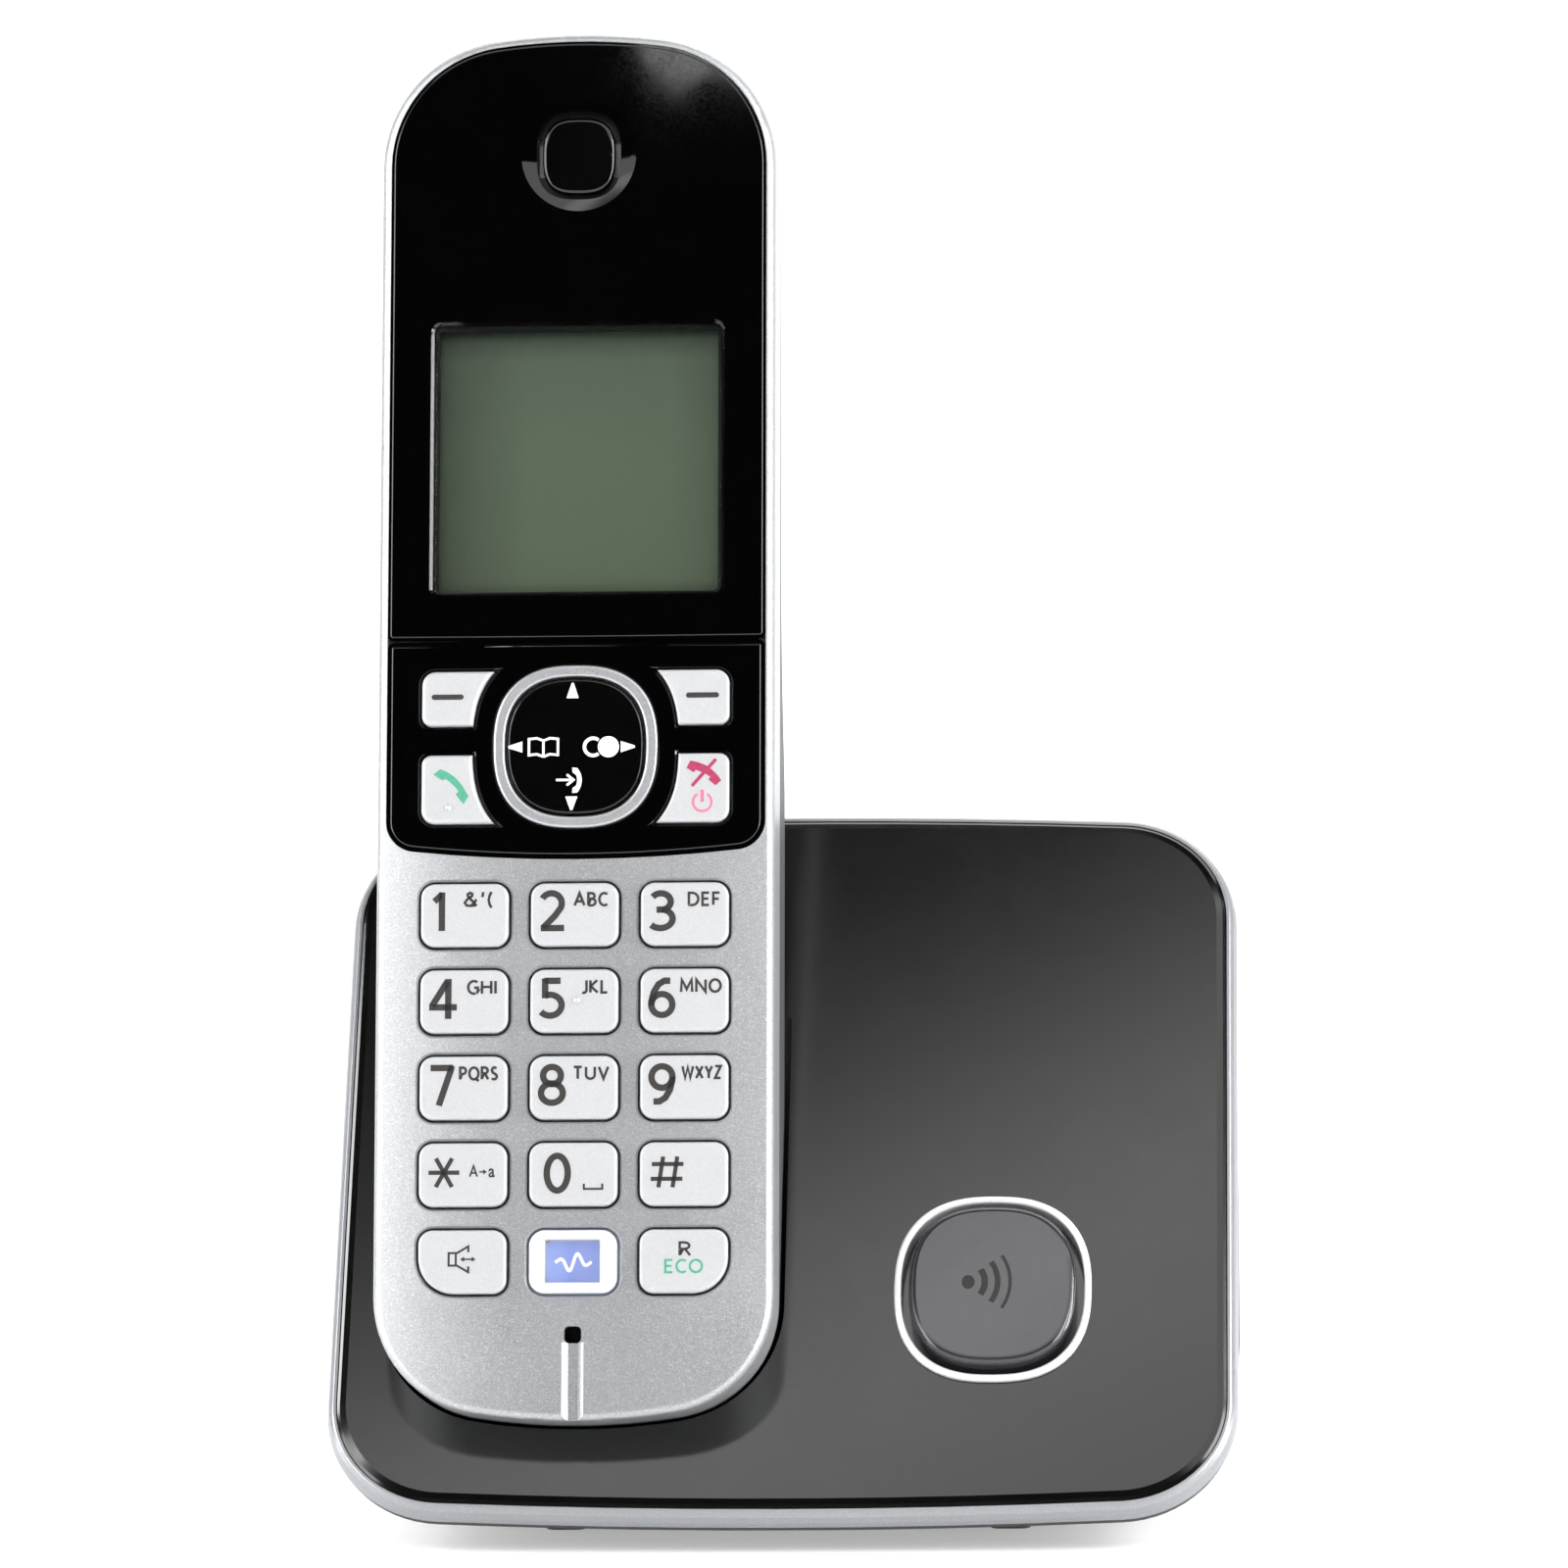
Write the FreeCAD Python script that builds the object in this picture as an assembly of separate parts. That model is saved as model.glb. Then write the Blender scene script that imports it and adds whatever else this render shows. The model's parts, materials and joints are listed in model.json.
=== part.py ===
import FreeCAD, Part
import os, math

os.makedirs("parts", exist_ok=True)
V = FreeCAD.Vector

# ---------------------------------------------------------------- driving dimensions (mm, deg)
BASE_W = 109.6            # base width over the silver rim
BASE_T0 = -0.4            # lower edge of the outline, along the slope
BASE_L = 96.35            # upper edge of the outline, along the slope
BASE_R = 14.5             # corner radius of the base outline
BASE_BULGE_R = 900.0      # very slight bow of the base's top and bottom edges
BASE_SLOPE = 35.0         # slope of the front plate, from the vertical
BASE_FRONT_Z = 5.0        # height of the rim's lower front edge above the desk
BASE_DEPTH = 80.0         # front edge to back wall
HOUSING_Z = 2.7           # underside of the base above the desk
SPLIT_Z = 8.0             # joint between bottom cover and upper housing
WALL_B = 2.2              # base wall
RIM_D = 2.5               # depth of the silver rim
RIM_FLARE = 0.95          # the rim widens this much towards its back edge
RIM_W = 1.28              # inner edge of the silver rim, in from its widest outline
PLATE_IN = 1.42           # front plate edge, in from the same outline
PLATE_BEVEL = 1.1         # width of the plate's polished bevel
PLATE_TOP = 0.35          # front plate stands this far out of the rim

HS_W = 48.0               # handset width
HS_L = 169.5              # handset length
HS_D = 26.0               # handset depth at the battery
HS_TILT = 14.0            # handset leans back this far, from the vertical
HS_X = -24.3              # handset centre line, from the base's centre line
HS_Y = 0.0                # lower edge of the handset's face
HS_Z = 16.5
HS_RB, HS_rb = 75.0, 14.0 # bottom end: large arc and corner arc
HS_RT, HS_rt = 75.0, 16.0 # top end
HS_SPLIT = -10.0          # joint between front and rear casing
HS_WALL = 1.8
FRONT_T = 2.4             # front wall of the handset
RECESS = 1.25             # panels sit this deep in the front casing
PANEL_TOP = 0.35          # panels stand this far out
WELL_GAP = 0.5            # air between handset and cradle
WELL_WALL = 1.8

KEY_DX, KEY_DY = 13.25, 10.45      # key pitch
KEY_W, KEY_H, KEY_R = 11.2, 8.25, 2.0
KEY_ROW1 = 60.8                    # top row of digits, above the bottom end
KEY_GAP = 0.32
KEY_TRAVEL = 0.6
NAV_S = 81.2
BTN_X, BTN_T = 25.3, 29.7          # page button on the front plate
BTN_TRAVEL = 1.0
Y_SHIFT = -40.0                    # puts the origin under the middle of the base

# ---------------------------------------------------------------- frames
def frame(ox, oy, oz, deg):
    a = math.radians(deg)
    s, c = math.sin(a), math.cos(a)
    return FreeCAD.Placement(FreeCAD.Matrix(1, 0, 0, ox, 0, s, -c, oy, 0, c, s, oz, 0, 0, 0, 1))

PH = frame(HS_X, HS_Y, HS_Z, HS_TILT)
PB = frame(0, 0, BASE_FRONT_Z, BASE_SLOPE)

def put(shape, frm):
    r = shape.copy()
    r.Placement = frm.multiply(r.Placement)
    return r

def box(x0, x1, y0, y1, z0, z1):
    return Part.makeBox(x1 - x0, y1 - y0, z1 - z0, V(x0, y0, z0))

def cyl(x, y, z0, z1, r):
    return Part.makeCylinder(r, z1 - z0, V(x, y, z0), V(0, 0, 1))

def arc3(a, b, c):
    return Part.Arc(V(*a), V(*b), V(*c)).toShape()

def seg(a, b):
    return Part.LineSegment(V(*a), V(*b)).toShape()

def ends(hw, y0, y1, Rb, rb, Rt, rt, d=0.0):
    """Closed outline: straight sides, bowed ends with corner arcs, moved in by d."""
    hw -= d; y0 += d; y1 -= d; Rb -= d; Rt -= d
    rb = max(rb - d, 0.05); rt = max(rt - d, 0.05)
    out = []
    def end(y, R, r, sg):
        # sg=-1 bottom end, +1 top end; returns tangent points and mid points
        cy = y - sg * R
        k = math.sqrt((R - r) ** 2 - (hw - r) ** 2)
        ccx, ccy = hw - r, cy + sg * k
        ux, uy = ccx / (R - r), sg * k / (R - r)
        T = (ccx + ux * r, ccy + uy * r)
        a0 = 0.0
        a1 = math.atan2(uy, ux)
        am = (a0 + a1) / 2
        M = (ccx + r * math.cos(am), ccy + r * math.sin(am))
        return (hw, ccy), M, T, (0, y)
    S, M, T, B = end(y0, Rb, rb, -1)
    S2, M2, T2, B2 = end(y1, Rt, rt, 1)
    n = lambda p: (-p[0], p[1], 0)
    p = lambda q: (q[0], q[1], 0)
    e = [arc3(n(T), p(B), p(T)), arc3(p(T), p(M), p(S)), seg(p(S), p(S2)), arc3(p(S2), p(M2), p(T2)),
         arc3(p(T2), p(B2), n(T2)), arc3(n(T2), n(M2), n(S2)), seg(n(S2), n(S)), arc3(n(S), n(M), n(T))]
    return Part.Face(Part.Wire(e))

def rrect(cx, cy, w, h, r):
    """Rounded rectangle; r is one radius or (lower left, lower right, upper right, upper left)."""
    if not isinstance(r, (tuple, list)):
        r = (r,) * 4
    x0, x1, y0, y1 = cx - w / 2, cx + w / 2, cy - h / 2, cy + h / 2
    k = 1 - math.sqrt(0.5)
    a, b, c, d = r
    e = [seg((x0 + a, y0, 0), (x1 - b, y0, 0)),
         arc3((x1 - b, y0, 0), (x1 - b * k, y0 + b * k, 0), (x1, y0 + b, 0)),
         seg((x1, y0 + b, 0), (x1, y1 - c, 0)),
         arc3((x1, y1 - c, 0), (x1 - c * k, y1 - c * k, 0), (x1 - c, y1, 0)),
         seg((x1 - c, y1, 0), (x0 + d, y1, 0)),
         arc3((x0 + d, y1, 0), (x0 + d * k, y1 - d * k, 0), (x0, y1 - d, 0)),
         seg((x0, y1 - d, 0), (x0, y0 + a, 0)),
         arc3((x0, y0 + a, 0), (x0 + a * k, y0 + a * k, 0), (x0 + a, y0, 0))]
    return Part.Face(Part.Wire(e))

def squircle(cx, cy, w, h, n=2.5):
    pts = []
    N = 32
    for i in range(N):
        t = 2 * math.pi * i / N
        c, s = math.cos(t), math.sin(t)
        pts.append(V(cx + w / 2 * math.copysign(abs(c) ** (2 / n), c), cy + h / 2 * math.copysign(abs(s) ** (2 / n), s), 0))
    b = Part.BSplineCurve()
    b.interpolate(pts, PeriodicFlag=True)
    return Part.Face(Part.Wire([b.toShape()]))

def slab(face, z0, z1):
    f = face.copy()
    f.translate(V(0, 0, z0))
    return f.extrude(V(0, 0, z1 - z0))

def edges_at(shape, z, tol=1e-3):
    return [e for e in shape.Edges if abs(e.BoundBox.ZMin - z) < tol and abs(e.BoundBox.ZMax - z) < tol]

def soften(shape, edges, r, how="fillet"):
    for k in (1.0, 0.7, 0.45):
        try:
            t = shape.makeFillet(r * k, edges) if how == "fillet" else shape.makeChamfer(r * k, edges)
            if t.isValid() and t.Volume > 0:
                return t
        except Exception:
            pass
    if how == "fillet":
        return soften(shape, edges, r * 0.7, "chamfer")
    print("edge treatment left out", how, r)
    return shape

def fuse(first, *rest):
    return first.multiFuse(list(rest)) if rest else first

parts = {}

# ================================================================ HANDSET (local: u, s, n = x, y, z)
def hs(d=0.0):
    return ends(HS_W / 2, 0, HS_L, HS_RB, HS_rb, HS_RT, HS_rt, d)

def back_region(dn):
    """Everything in front of the handset's back surface, the surface moved in by dn."""
    D = -HS_D + dn
    b = Part.BSplineCurve()
    b.interpolate([V(0, 76, D), V(0, 88, D + 3.4), V(0, 101, D + 6.9)],
                  InitialTangent=V(0, 1, 0), FinalTangent=V(0, 1, 0.06))
    e = [seg((0, -10, 5), (0, -10, D)), seg((0, -10, D), (0, 76, D)), b.toShape(),
         seg((0, 101, D + 6.9), (0, 185, D + 11.0)), seg((0, 185, D + 11.0), (0, 185, 5)), seg((0, 185, 5), (0, -10, 5))]
    f = Part.Face(Part.Wire(e))
    f.translate(V(-40, 0, 0))
    return f.extrude(V(80, 0, 0))

# panel recess outlines
def display_outline(d=0.0):
    return ends(HS_W / 2 - 1.15, 94.3, HS_L - 1.1, 4000.0, 0.7, HS_RT - 1.15, HS_rt - 1.15, d)

def control_outline(d=0.0):
    return ends(HS_W / 2 - 1.15, 67.6, 94.2, 186.0, 3.6, 4000.0, 0.7, d)

def recess_outline():
    return ends(HS_W / 2 - 1.1, 67.55, HS_L - 1.05, 186.0, 3.65, HS_RT - 1.1, HS_rt - 1.1)

rows = [KEY_ROW1 - KEY_DY * i for i in range(5)]
key_names = [["key_1", "key_2", "key_3"], ["key_4", "key_5", "key_6"], ["key_7", "key_8", "key_9"],
             ["key_star", "key_0", "key_hash"], ["key_speaker", "key_noise", "key_recall"]]
keys = []
for i, row in enumerate(key_names):
    for j, name in enumerate(row):
        r = (KEY_R,) * 4
        if name == "key_speaker":
            r = (4.6, KEY_R, KEY_R, KEY_R)
        if name == "key_recall":
            r = (KEY_R, 4.6, KEY_R, KEY_R)
        if name == "key_noise":
            r = (2.2,) * 4
        keys.append((name, (j - 1) * KEY_DX, rows[i], r))

def corner_key(side, low, d):
    """Soft, talk and off keys: a rounded block whose inner side follows the navigator ring."""
    s0, s1 = (71.6, 80.5) if low else (83.5, 90.7)
    w = 18.85 - 6.0
    cx = side * (6.0 + w / 2)
    o, sm = 1.9 - d, 0.9
    if side > 0:
        r = (sm, o if low else 1.2, 1.2 if low else o, sm)
    else:
        r = (o if low else 1.2, sm, sm, 1.2 if low else o)
    f = rrect(cx, (s0 + s1) / 2, w - 2 * d, s1 - s0 - 2 * d, r)
    return f, squircle(0, NAV_S, 24.4 + 2 * d, 24.4 + 2 * d, 2.6)

def corner_slab(side, low, d, z0, z1):
    f, q = corner_key(side, low, d)
    return slab(f, z0, z1).cut(slab(q, z0 - 1, z1 + 1))

corner = [("soft_key_left", -1, False), ("soft_key_right", 1, False), ("talk_key", -1, True), ("off_key", 1, True)]

# ---- front casing
fc = slab(hs(), HS_SPLIT, 0)
fc = soften(fc, edges_at(fc, 0), 0.95)
fc = fc.cut(slab(hs(HS_WALL), HS_SPLIT - 1, -FRONT_T))
fc = fc.cut(slab(recess_outline(), -RECESS, 2))
holes = [slab(rrect(x, y, KEY_W, KEY_H, r), -5, 3) for _, x, y, r in keys]
fc = fc.cut(Part.makeCompound(holes))
top_edges = [e for e in edges_at(fc, 0) if e.BoundBox.YMax < 66.5 and abs(e.BoundBox.Center.x) < 20 and e.BoundBox.YMin > 14
             and e.BoundBox.XMin > -19.2 and e.BoundBox.XMax < 19.2]
fc = soften(fc, top_edges, 0.25, "chamfer")
ledge_cuts = [corner_slab(sd, lo, 0.0, -5, 1) for _, sd, lo in corner]
ledge_cuts.append(slab(squircle(0, NAV_S, 17.7, 17.7), -5, 1))
ledge_cuts.append(slab(rrect(0, 116.6, 34.0, 32.3, 0.6), -5, 1))
for sx in (-1, 1):
    ledge_cuts.append(slab(rrect(sx * 4.55, 154.2, 0.9, 5.0, 0.4), -5, 1))
ledge_cuts.append(slab(rrect(0, 10.3, 2.05, 2.0, 0.6), -5, 1))
fc = fc.cut(Part.makeCompound(ledge_cuts))
# microphone groove with sloping walls, down to the lower end
gp = [(-1.3, 0.0), (-0.55, -0.6), (0.55, -0.6), (1.3, 0.0), (1.3, 3.0), (-1.3, 3.0)]
gf = Part.Face(Part.makePolygon([V(x, -3, z) for x, z in gp + gp[:1]]))
fc = fc.cut(gf.extrude(V(0, 12.4, 0)))
# screw bosses and guide ribs
bosses = []
for sx in (-1, 1):
    bosses.append(cyl(sx * 16, 10.2, HS_SPLIT, -FRONT_T + 0.2, 2.5))
    bosses.append(box(sx * 21.4 - 0.9, sx * 21.4 + 0.9, 62.0, 63.2, HS_SPLIT, -FRONT_T + 0.2))
    bosses.append(box(sx * 21.4 - 0.9, sx * 21.4 + 0.9, 140.0, 141.2, HS_SPLIT, -FRONT_T + 0.2))
fc = fuse(fc, *bosses)
fc = fc.cut(Part.makeCompound([cyl(sx * 16, 10.2, HS_SPLIT - 1, -3.6, 1.02) for sx in (-1, 1)]))
parts["handset_front_casing"] = fc.removeSplitter()

# ---- rear casing envelope
env = slab(hs(0.15), -HS_D - 2, HS_SPLIT).common(back_region(0))
sel = []
for e in env.Edges:
    b = e.BoundBox
    if b.ZMin > HS_SPLIT - 0.01:
        continue
    if b.XLength < 0.01 and b.YLength < 0.01:
        continue
    if b.XLength > 40 and b.YLength < 0.01:
        continue
    sel.append(e)
env = soften(env, sel, 4.0)
inner = slab(hs(2.15), -HS_D - 2, HS_SPLIT + 0.5).common(back_region(2.0))
rc = env.cut(inner)
channel = box(-20.1, 20.1, 6.9, 200, -30, -24.4)
rc = rc.cut(channel)
plate = box(-20.6, 20.6, 5.0, 84.5, -24.4, -23.2).common(env)
tub = box(-12.9, 12.9, 16.5, 73.5, -24.4, -10.4)
tubes = [cyl(sx * 16, 10.2, -23.3, HS_SPLIT - 0.02, 2.5) for sx in (-1, 1)]
rc = fuse(rc, plate, tub, *tubes)
rc = rc.cut(box(-11.6, 11.6, 18.0, 72.0, -26, -11.6))
rc = rc.cut(Part.makeCompound([cyl(sx * 16, 10.2, -26, -9, 1.15) for sx in (-1, 1)] + [cyl(sx * 16, 10.2, -26, -23.05, 2.2) for sx in (-1, 1)]))
rc = rc.cut(Part.makeCompound([box(-6.0, 6.0, 128 + k * 2.2 - 0.45, 128 + k * 2.2 + 0.45, -22, -14) for k in (-2, -1, 0, 1, 2)]))
# charging pads in the lower end
skin = env.cut(slab(hs(1.2), -HS_D - 2, HS_SPLIT + 1))
pads = []
pad_cut = []
for sx in (-1, 1):
    b = box(min(sx * 10.5, sx * 15.5), max(sx * 10.5, sx * 15.5), -3, 5, -20, -14)
    pads.append(skin.common(b))
    pad_cut.append(b.common(skin))
rc = rc.cut(Part.makeCompound(pad_cut))
parts["handset_rear_casing"] = rc.removeSplitter()
parts["handset_charge_pads"] = Part.makeCompound([p.Solids[0] for p in pads])

# ---- battery cover, slides up along the back
cover = env.common(box(-19.8, 19.8, 7.2, 82.0, -30, -24.5))
grip = [box(-8, 8, 70 + k * 1.9, 70.8 + k * 1.9, -26.3, -25.9) for k in range(4)]
parts["battery_cover"] = fuse(cover, *grip).removeSplitter()

# ---- screws
def screw(x, y, zh, head_r, head_h, r, z1):
    h = cyl(x, y, zh, zh + head_h, head_r)
    h = h.cut(box(x - 1.3, x + 1.3, y - 0.3, y + 0.3, zh - 1, zh + 0.5)).cut(box(x - 0.3, x + 0.3, y - 1.3, y + 1.3, zh - 1, zh + 0.5))
    return h.fuse(cyl(x, y, zh + head_h, z1, r)).removeSplitter()
parts["handset_screws"] = Part.makeCompound([screw(sx * 16, 10.2, -24.3, 2.0, 1.2, 1.0, -4.0) for sx in (-1, 1)])

# ---- black panels
def panel(outline, inset, through, extra_cut=()):
    p = slab(outline(0.0), -RECESS, -0.05)
    q = slab(outline(inset), -0.9, PANEL_TOP)
    q = soften(q, edges_at(q, PANEL_TOP), 0.22)
    p = p.fuse(q)
    return p.cut(Part.makeCompound(list(through) + list(extra_cut))).removeSplitter()

dish = Part.makeSphere(27.7, V(0, 154.2, PANEL_TOP + 27.7 - 0.9))
dish_m = FreeCAD.Matrix(1.06, 0, 0, 0, 0, 0.97, 0, 154.2 * 0.03, 0, 0, 1, 0, 0, 0, 0, 1)
def tapered(w, h, r, z0, z1, grow):
    a, b = rrect(0, 116.6, w, h, r), rrect(0, 116.6, w + 2 * grow, h + 2 * grow, r + grow)
    a.translate(V(0, 0, z0)); b.translate(V(0, 0, z1))
    return Part.makeLoft([a.OuterWire, b.OuterWire], True, True)
dp_cuts = [slab(rrect(0, 116.6, 34.9, 33.1, 0.8), -3, 3), tapered(34.9, 33.1, 0.8, -0.15, 0.45, 0.48), slab(squircle(0, 154.2, 10.3, 11.0, 2.9), -3, 3)]
dp = panel(display_outline, 0.3, dp_cuts)
dp = dp.cut(dish)
parts["display_panel"] = dp.removeSplitter()
cp_cuts = [corner_slab(sd, lo, 0.0, -3, 3) for _, sd, lo in corner] + [slab(squircle(0, NAV_S, 19.9, 19.9), -3, 3)]
cp = panel(control_outline, 0.5, cp_cuts)
lips = [e for e in edges_at(cp, PANEL_TOP) if e.BoundBox.XMin > -19.4 and e.BoundBox.XMax < 19.4 and e.BoundBox.YMin > 71.0 and e.BoundBox.YMax < 91.5]
cp = soften(cp, lips, 0.16, "chamfer")
# shallow bridges between the upper and the lower keys
grooves = [box(min(sx * 12.4, sx * 18.9), max(sx * 12.4, sx * 18.9), 80.45, 83.55, PANEL_TOP - 0.3, 2) for sx in (-1, 1)]
bars = [box(min(sx * 12.8, sx * 18.5), max(sx * 12.8, sx * 18.5), 80.95, 83.05, -0.2, PANEL_TOP + 0.15) for sx in (-1, 1)]
cp = cp.cut(Part.makeCompound(grooves)).multiFuse(bars)
parts["control_panel"] = cp.removeSplitter()

# ---- display stack
lens = slab(rrect(0, 116.6, 34.7, 32.9, 0.7), -1.2, -0.1)
parts["display_lens"] = soften(lens, edges_at(lens, -0.1), 0.1, "chamfer")
parts["lcd_module"] = box(-19, 19, 98.4, 134.8, -4.1, -2.5)
fr = box(-20.2, 20.2, 97.2, 136.0, -5.9, -2.5).cut(box(-19.1, 19.1, 98.3, 134.9, -4.15, -2))
parts["lcd_frame"] = fr

# ---- earpiece
cap = slab(squircle(0, 154.2, 8.9, 9.6, 2.9), -1.2, 0.1)
parts["earpiece_cap"] = soften(cap, edges_at(cap, 0.1), 0.6)
parts["earpiece_speaker"] = cyl(0, 154.2, -4.3, -2.5, 9.0).fuse(cyl(0, 154.2, -5.8, -4.3, 6.0)).removeSplitter()
parts["loudspeaker"] = cyl(0, 128, -14.6, -12.6, 10.0).fuse(cyl(0, 128, -12.6, -10.6, 6.5)).removeSplitter()
parts["microphone"] = cyl(0, 10.3, -4.1, -2.5, 2.2)

# ---- keys
def keycap(face_fn, flange, z_top, soft):
    c = slab(face_fn, -2.6, z_top)
    c = soften(c, edges_at(c, z_top), soft)
    return c.fuse(slab(flange, -3.1, -2.5)).removeSplitter()

for name, x, y, r in keys:
    d = KEY_GAP
    if name == "key_noise":
        f = rrect(x, y, KEY_W - 2 * d, KEY_H - 2 * d, [q - d for q in r])
        c = slab(f, -2.6, 0.75)
        c = soften(c, edges_at(c, 0.75), 0.8)
        c = c.fuse(slab(rrect(x, y, KEY_W + 0.9, KEY_H + 0.9, 2.2), -3.1, -2.5))
        c = c.cut(slab(rrect(x, y, 6.6, 5.2, 0.9), -4, -0.55))
        parts["key_noise"] = c.removeSplitter()
        parts["key_noise_insert"] = slab(rrect(x, y, 6.5, 5.1, 0.85), -3.05, -0.6)
        continue
    f = rrect(x, y, KEY_W - 2 * d, KEY_H - 2 * d, [q - d for q in r])
    fl = rrect(x, y, KEY_W + 0.9, KEY_H + 0.9, 1.0)
    k = keycap(f, fl, 0.5, 0.42)
    if name == "key_5":
        nib = Part.makeSphere(0.45, V(x + 0.35, y + 0.05, 0.45))
        k = k.fuse(nib)
    parts[name] = k.removeSplitter()

for name, sd, lo in corner:
    c = corner_slab(sd, lo, 0.28, -2.6, 0.95)
    c = soften(c, edges_at(c, 0.95), 0.55)
    f, q = corner_key(sd, lo, -0.4)
    fl = slab(f, -3.1, -2.5).cut(slab(q, -4, 0))
    k = c.fuse(fl)
    if name == "talk_key":
        k = k.fuse(Part.makeSphere(0.42, V(-15.3, 73.8, 0.88)))
    parts[name] = k.removeSplitter()

# ---- navigator
ring = slab(squircle(0, NAV_S, 19.8, 19.8), -1.2, 0.8).cut(slab(squircle(0, NAV_S, 17.1, 17.1), -3, 3))
parts["nav_ring"] = soften(ring, edges_at(ring, 0.8), 0.3)
nk = slab(squircle(0, NAV_S, 16.3, 16.4), -1.3, 0.7)
nk = soften(nk, edges_at(nk, 0.7), 0.25)
nk = nk.fuse(cyl(0, NAV_S, -2.6, -1.2, 2.6)).cut(Part.makeSphere(1.55, V(0, NAV_S, -3.0)))
parts["nav_key"] = nk.removeSplitter()
rk = Part.makeSphere(1.5, V(0, NAV_S, -3.0)).cut(box(-3, 3, NAV_S - 3, NAV_S + 3, -6, -3.45))
parts["nav_rocker"] = rk.fuse(cyl(0, NAV_S, -3.5, -3.2, 3.5)).removeSplitter()

# ---- keypad mat, dome sheet, boards
contacts = [(x, y) for _, x, y, _ in keys] + [(sd * 14.5, 76.2 if lo else 87.2) for _, sd, lo in corner]
contacts += [(0, NAV_S + 6.5), (0, NAV_S - 6.5), (-6.5, NAV_S), (6.5, NAV_S)]
mat = slab(rrect(0, 54.3, 41.0, 81.2, 3.0), -4.65, -3.85)
mat = fuse(mat, *[cyl(x, y, -5.5, -4.6, 1.3) for x, y in contacts])
parts["keypad_mat"] = mat.removeSplitter()
sheet = slab(rrect(0, 54.3, 39.0, 79.0, 2.0), -6.0, -5.85)
parts["dome_sheet"] = Part.makeCompound([sheet] + [cyl(x, y, -5.83, -5.55, 2.2) for x, y in contacts])
pcb = slab(rrect(0, 87.0, 39.0, 143.0, 3.0), -7.2, -6.02)
chips = [box(-12, 4, 100, 116, -8.6, -7.2), box(7, 15, 96, 106, -8.4, -7.2), box(-9, 9, 30, 33.5, -8.8, -7.2), box(-16, -6, 120, 132, -9.0, -7.2)]
parts["handset_pcb"] = fuse(pcb, *chips).removeSplitter()

# ---- batteries (AAA, 10.4 x 44.5) and their contacts
def cell(x, flip):
    b = cyl(0, 0, 0, 43.7, 5.2)
    b = soften(b, [e for e in b.Edges if e.Curve.TypeId == "Part::GeomCircle"], 0.5)
    b = b.fuse(cyl(0, 0, 43.6, 44.5, 1.9)).removeSplitter()
    b.rotate(V(0, 0, 0), V(1, 0, 0), -90)      # now along +s
    if flip:
        b.rotate(V(0, 22.25, 0), V(0, 0, 1), 180)
    b.translate(V(x, 22.6, -18.0))
    return b
parts["battery_left"] = cell(-5.7, False)
parts["battery_right"] = cell(5.7, True)

def coil(x, y0, y1, r, wire):
    h = Part.makeHelix((y1 - y0 - wire) / 3.0, y1 - y0 - wire, r)
    prof = Part.Wire([Part.makeCircle(wire / 2, V(r, 0, 0), V(0, 1, 0))])
    s = Part.Wire(h.Edges).makePipeShell([prof], True, True)
    s = Part.makeSolid(s) if s.ShapeType != "Solid" else s
    s.translate(V(0, 0, wire / 2))
    s.rotate(V(0, 0, 0), V(1, 0, 0), -90)
    s.translate(V(x, y0, -18.0))
    return s
c1 = coil(-5.7, 19.0, 22.5, 2.6, 0.5)
c2 = coil(5.7, 67.2, 70.7, 2.6, 0.5)
tabs = [box(-9.5, -1.5, 71.3, 71.7, -22.5, -13.0), box(1.5, 9.5, 71.3, 71.7, -22.5, -13.0),
        box(-9.5, -1.5, 18.3, 18.7, -22.5, -13.0), box(1.5, 9.5, 18.3, 18.7, -22.5, -13.0)]
parts["battery_contacts"] = Part.makeCompound([c1, c2] + tabs)

handset_nodes = list(parts.keys())
for k in handset_nodes:
    parts[k] = put(parts[k], PH)

# ================================================================ BASE
def bo(d=0.0):
    return ends(BASE_W / 2, BASE_T0, BASE_L, BASE_BULGE_R, BASE_R, BASE_BULGE_R, BASE_R, d)

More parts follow.
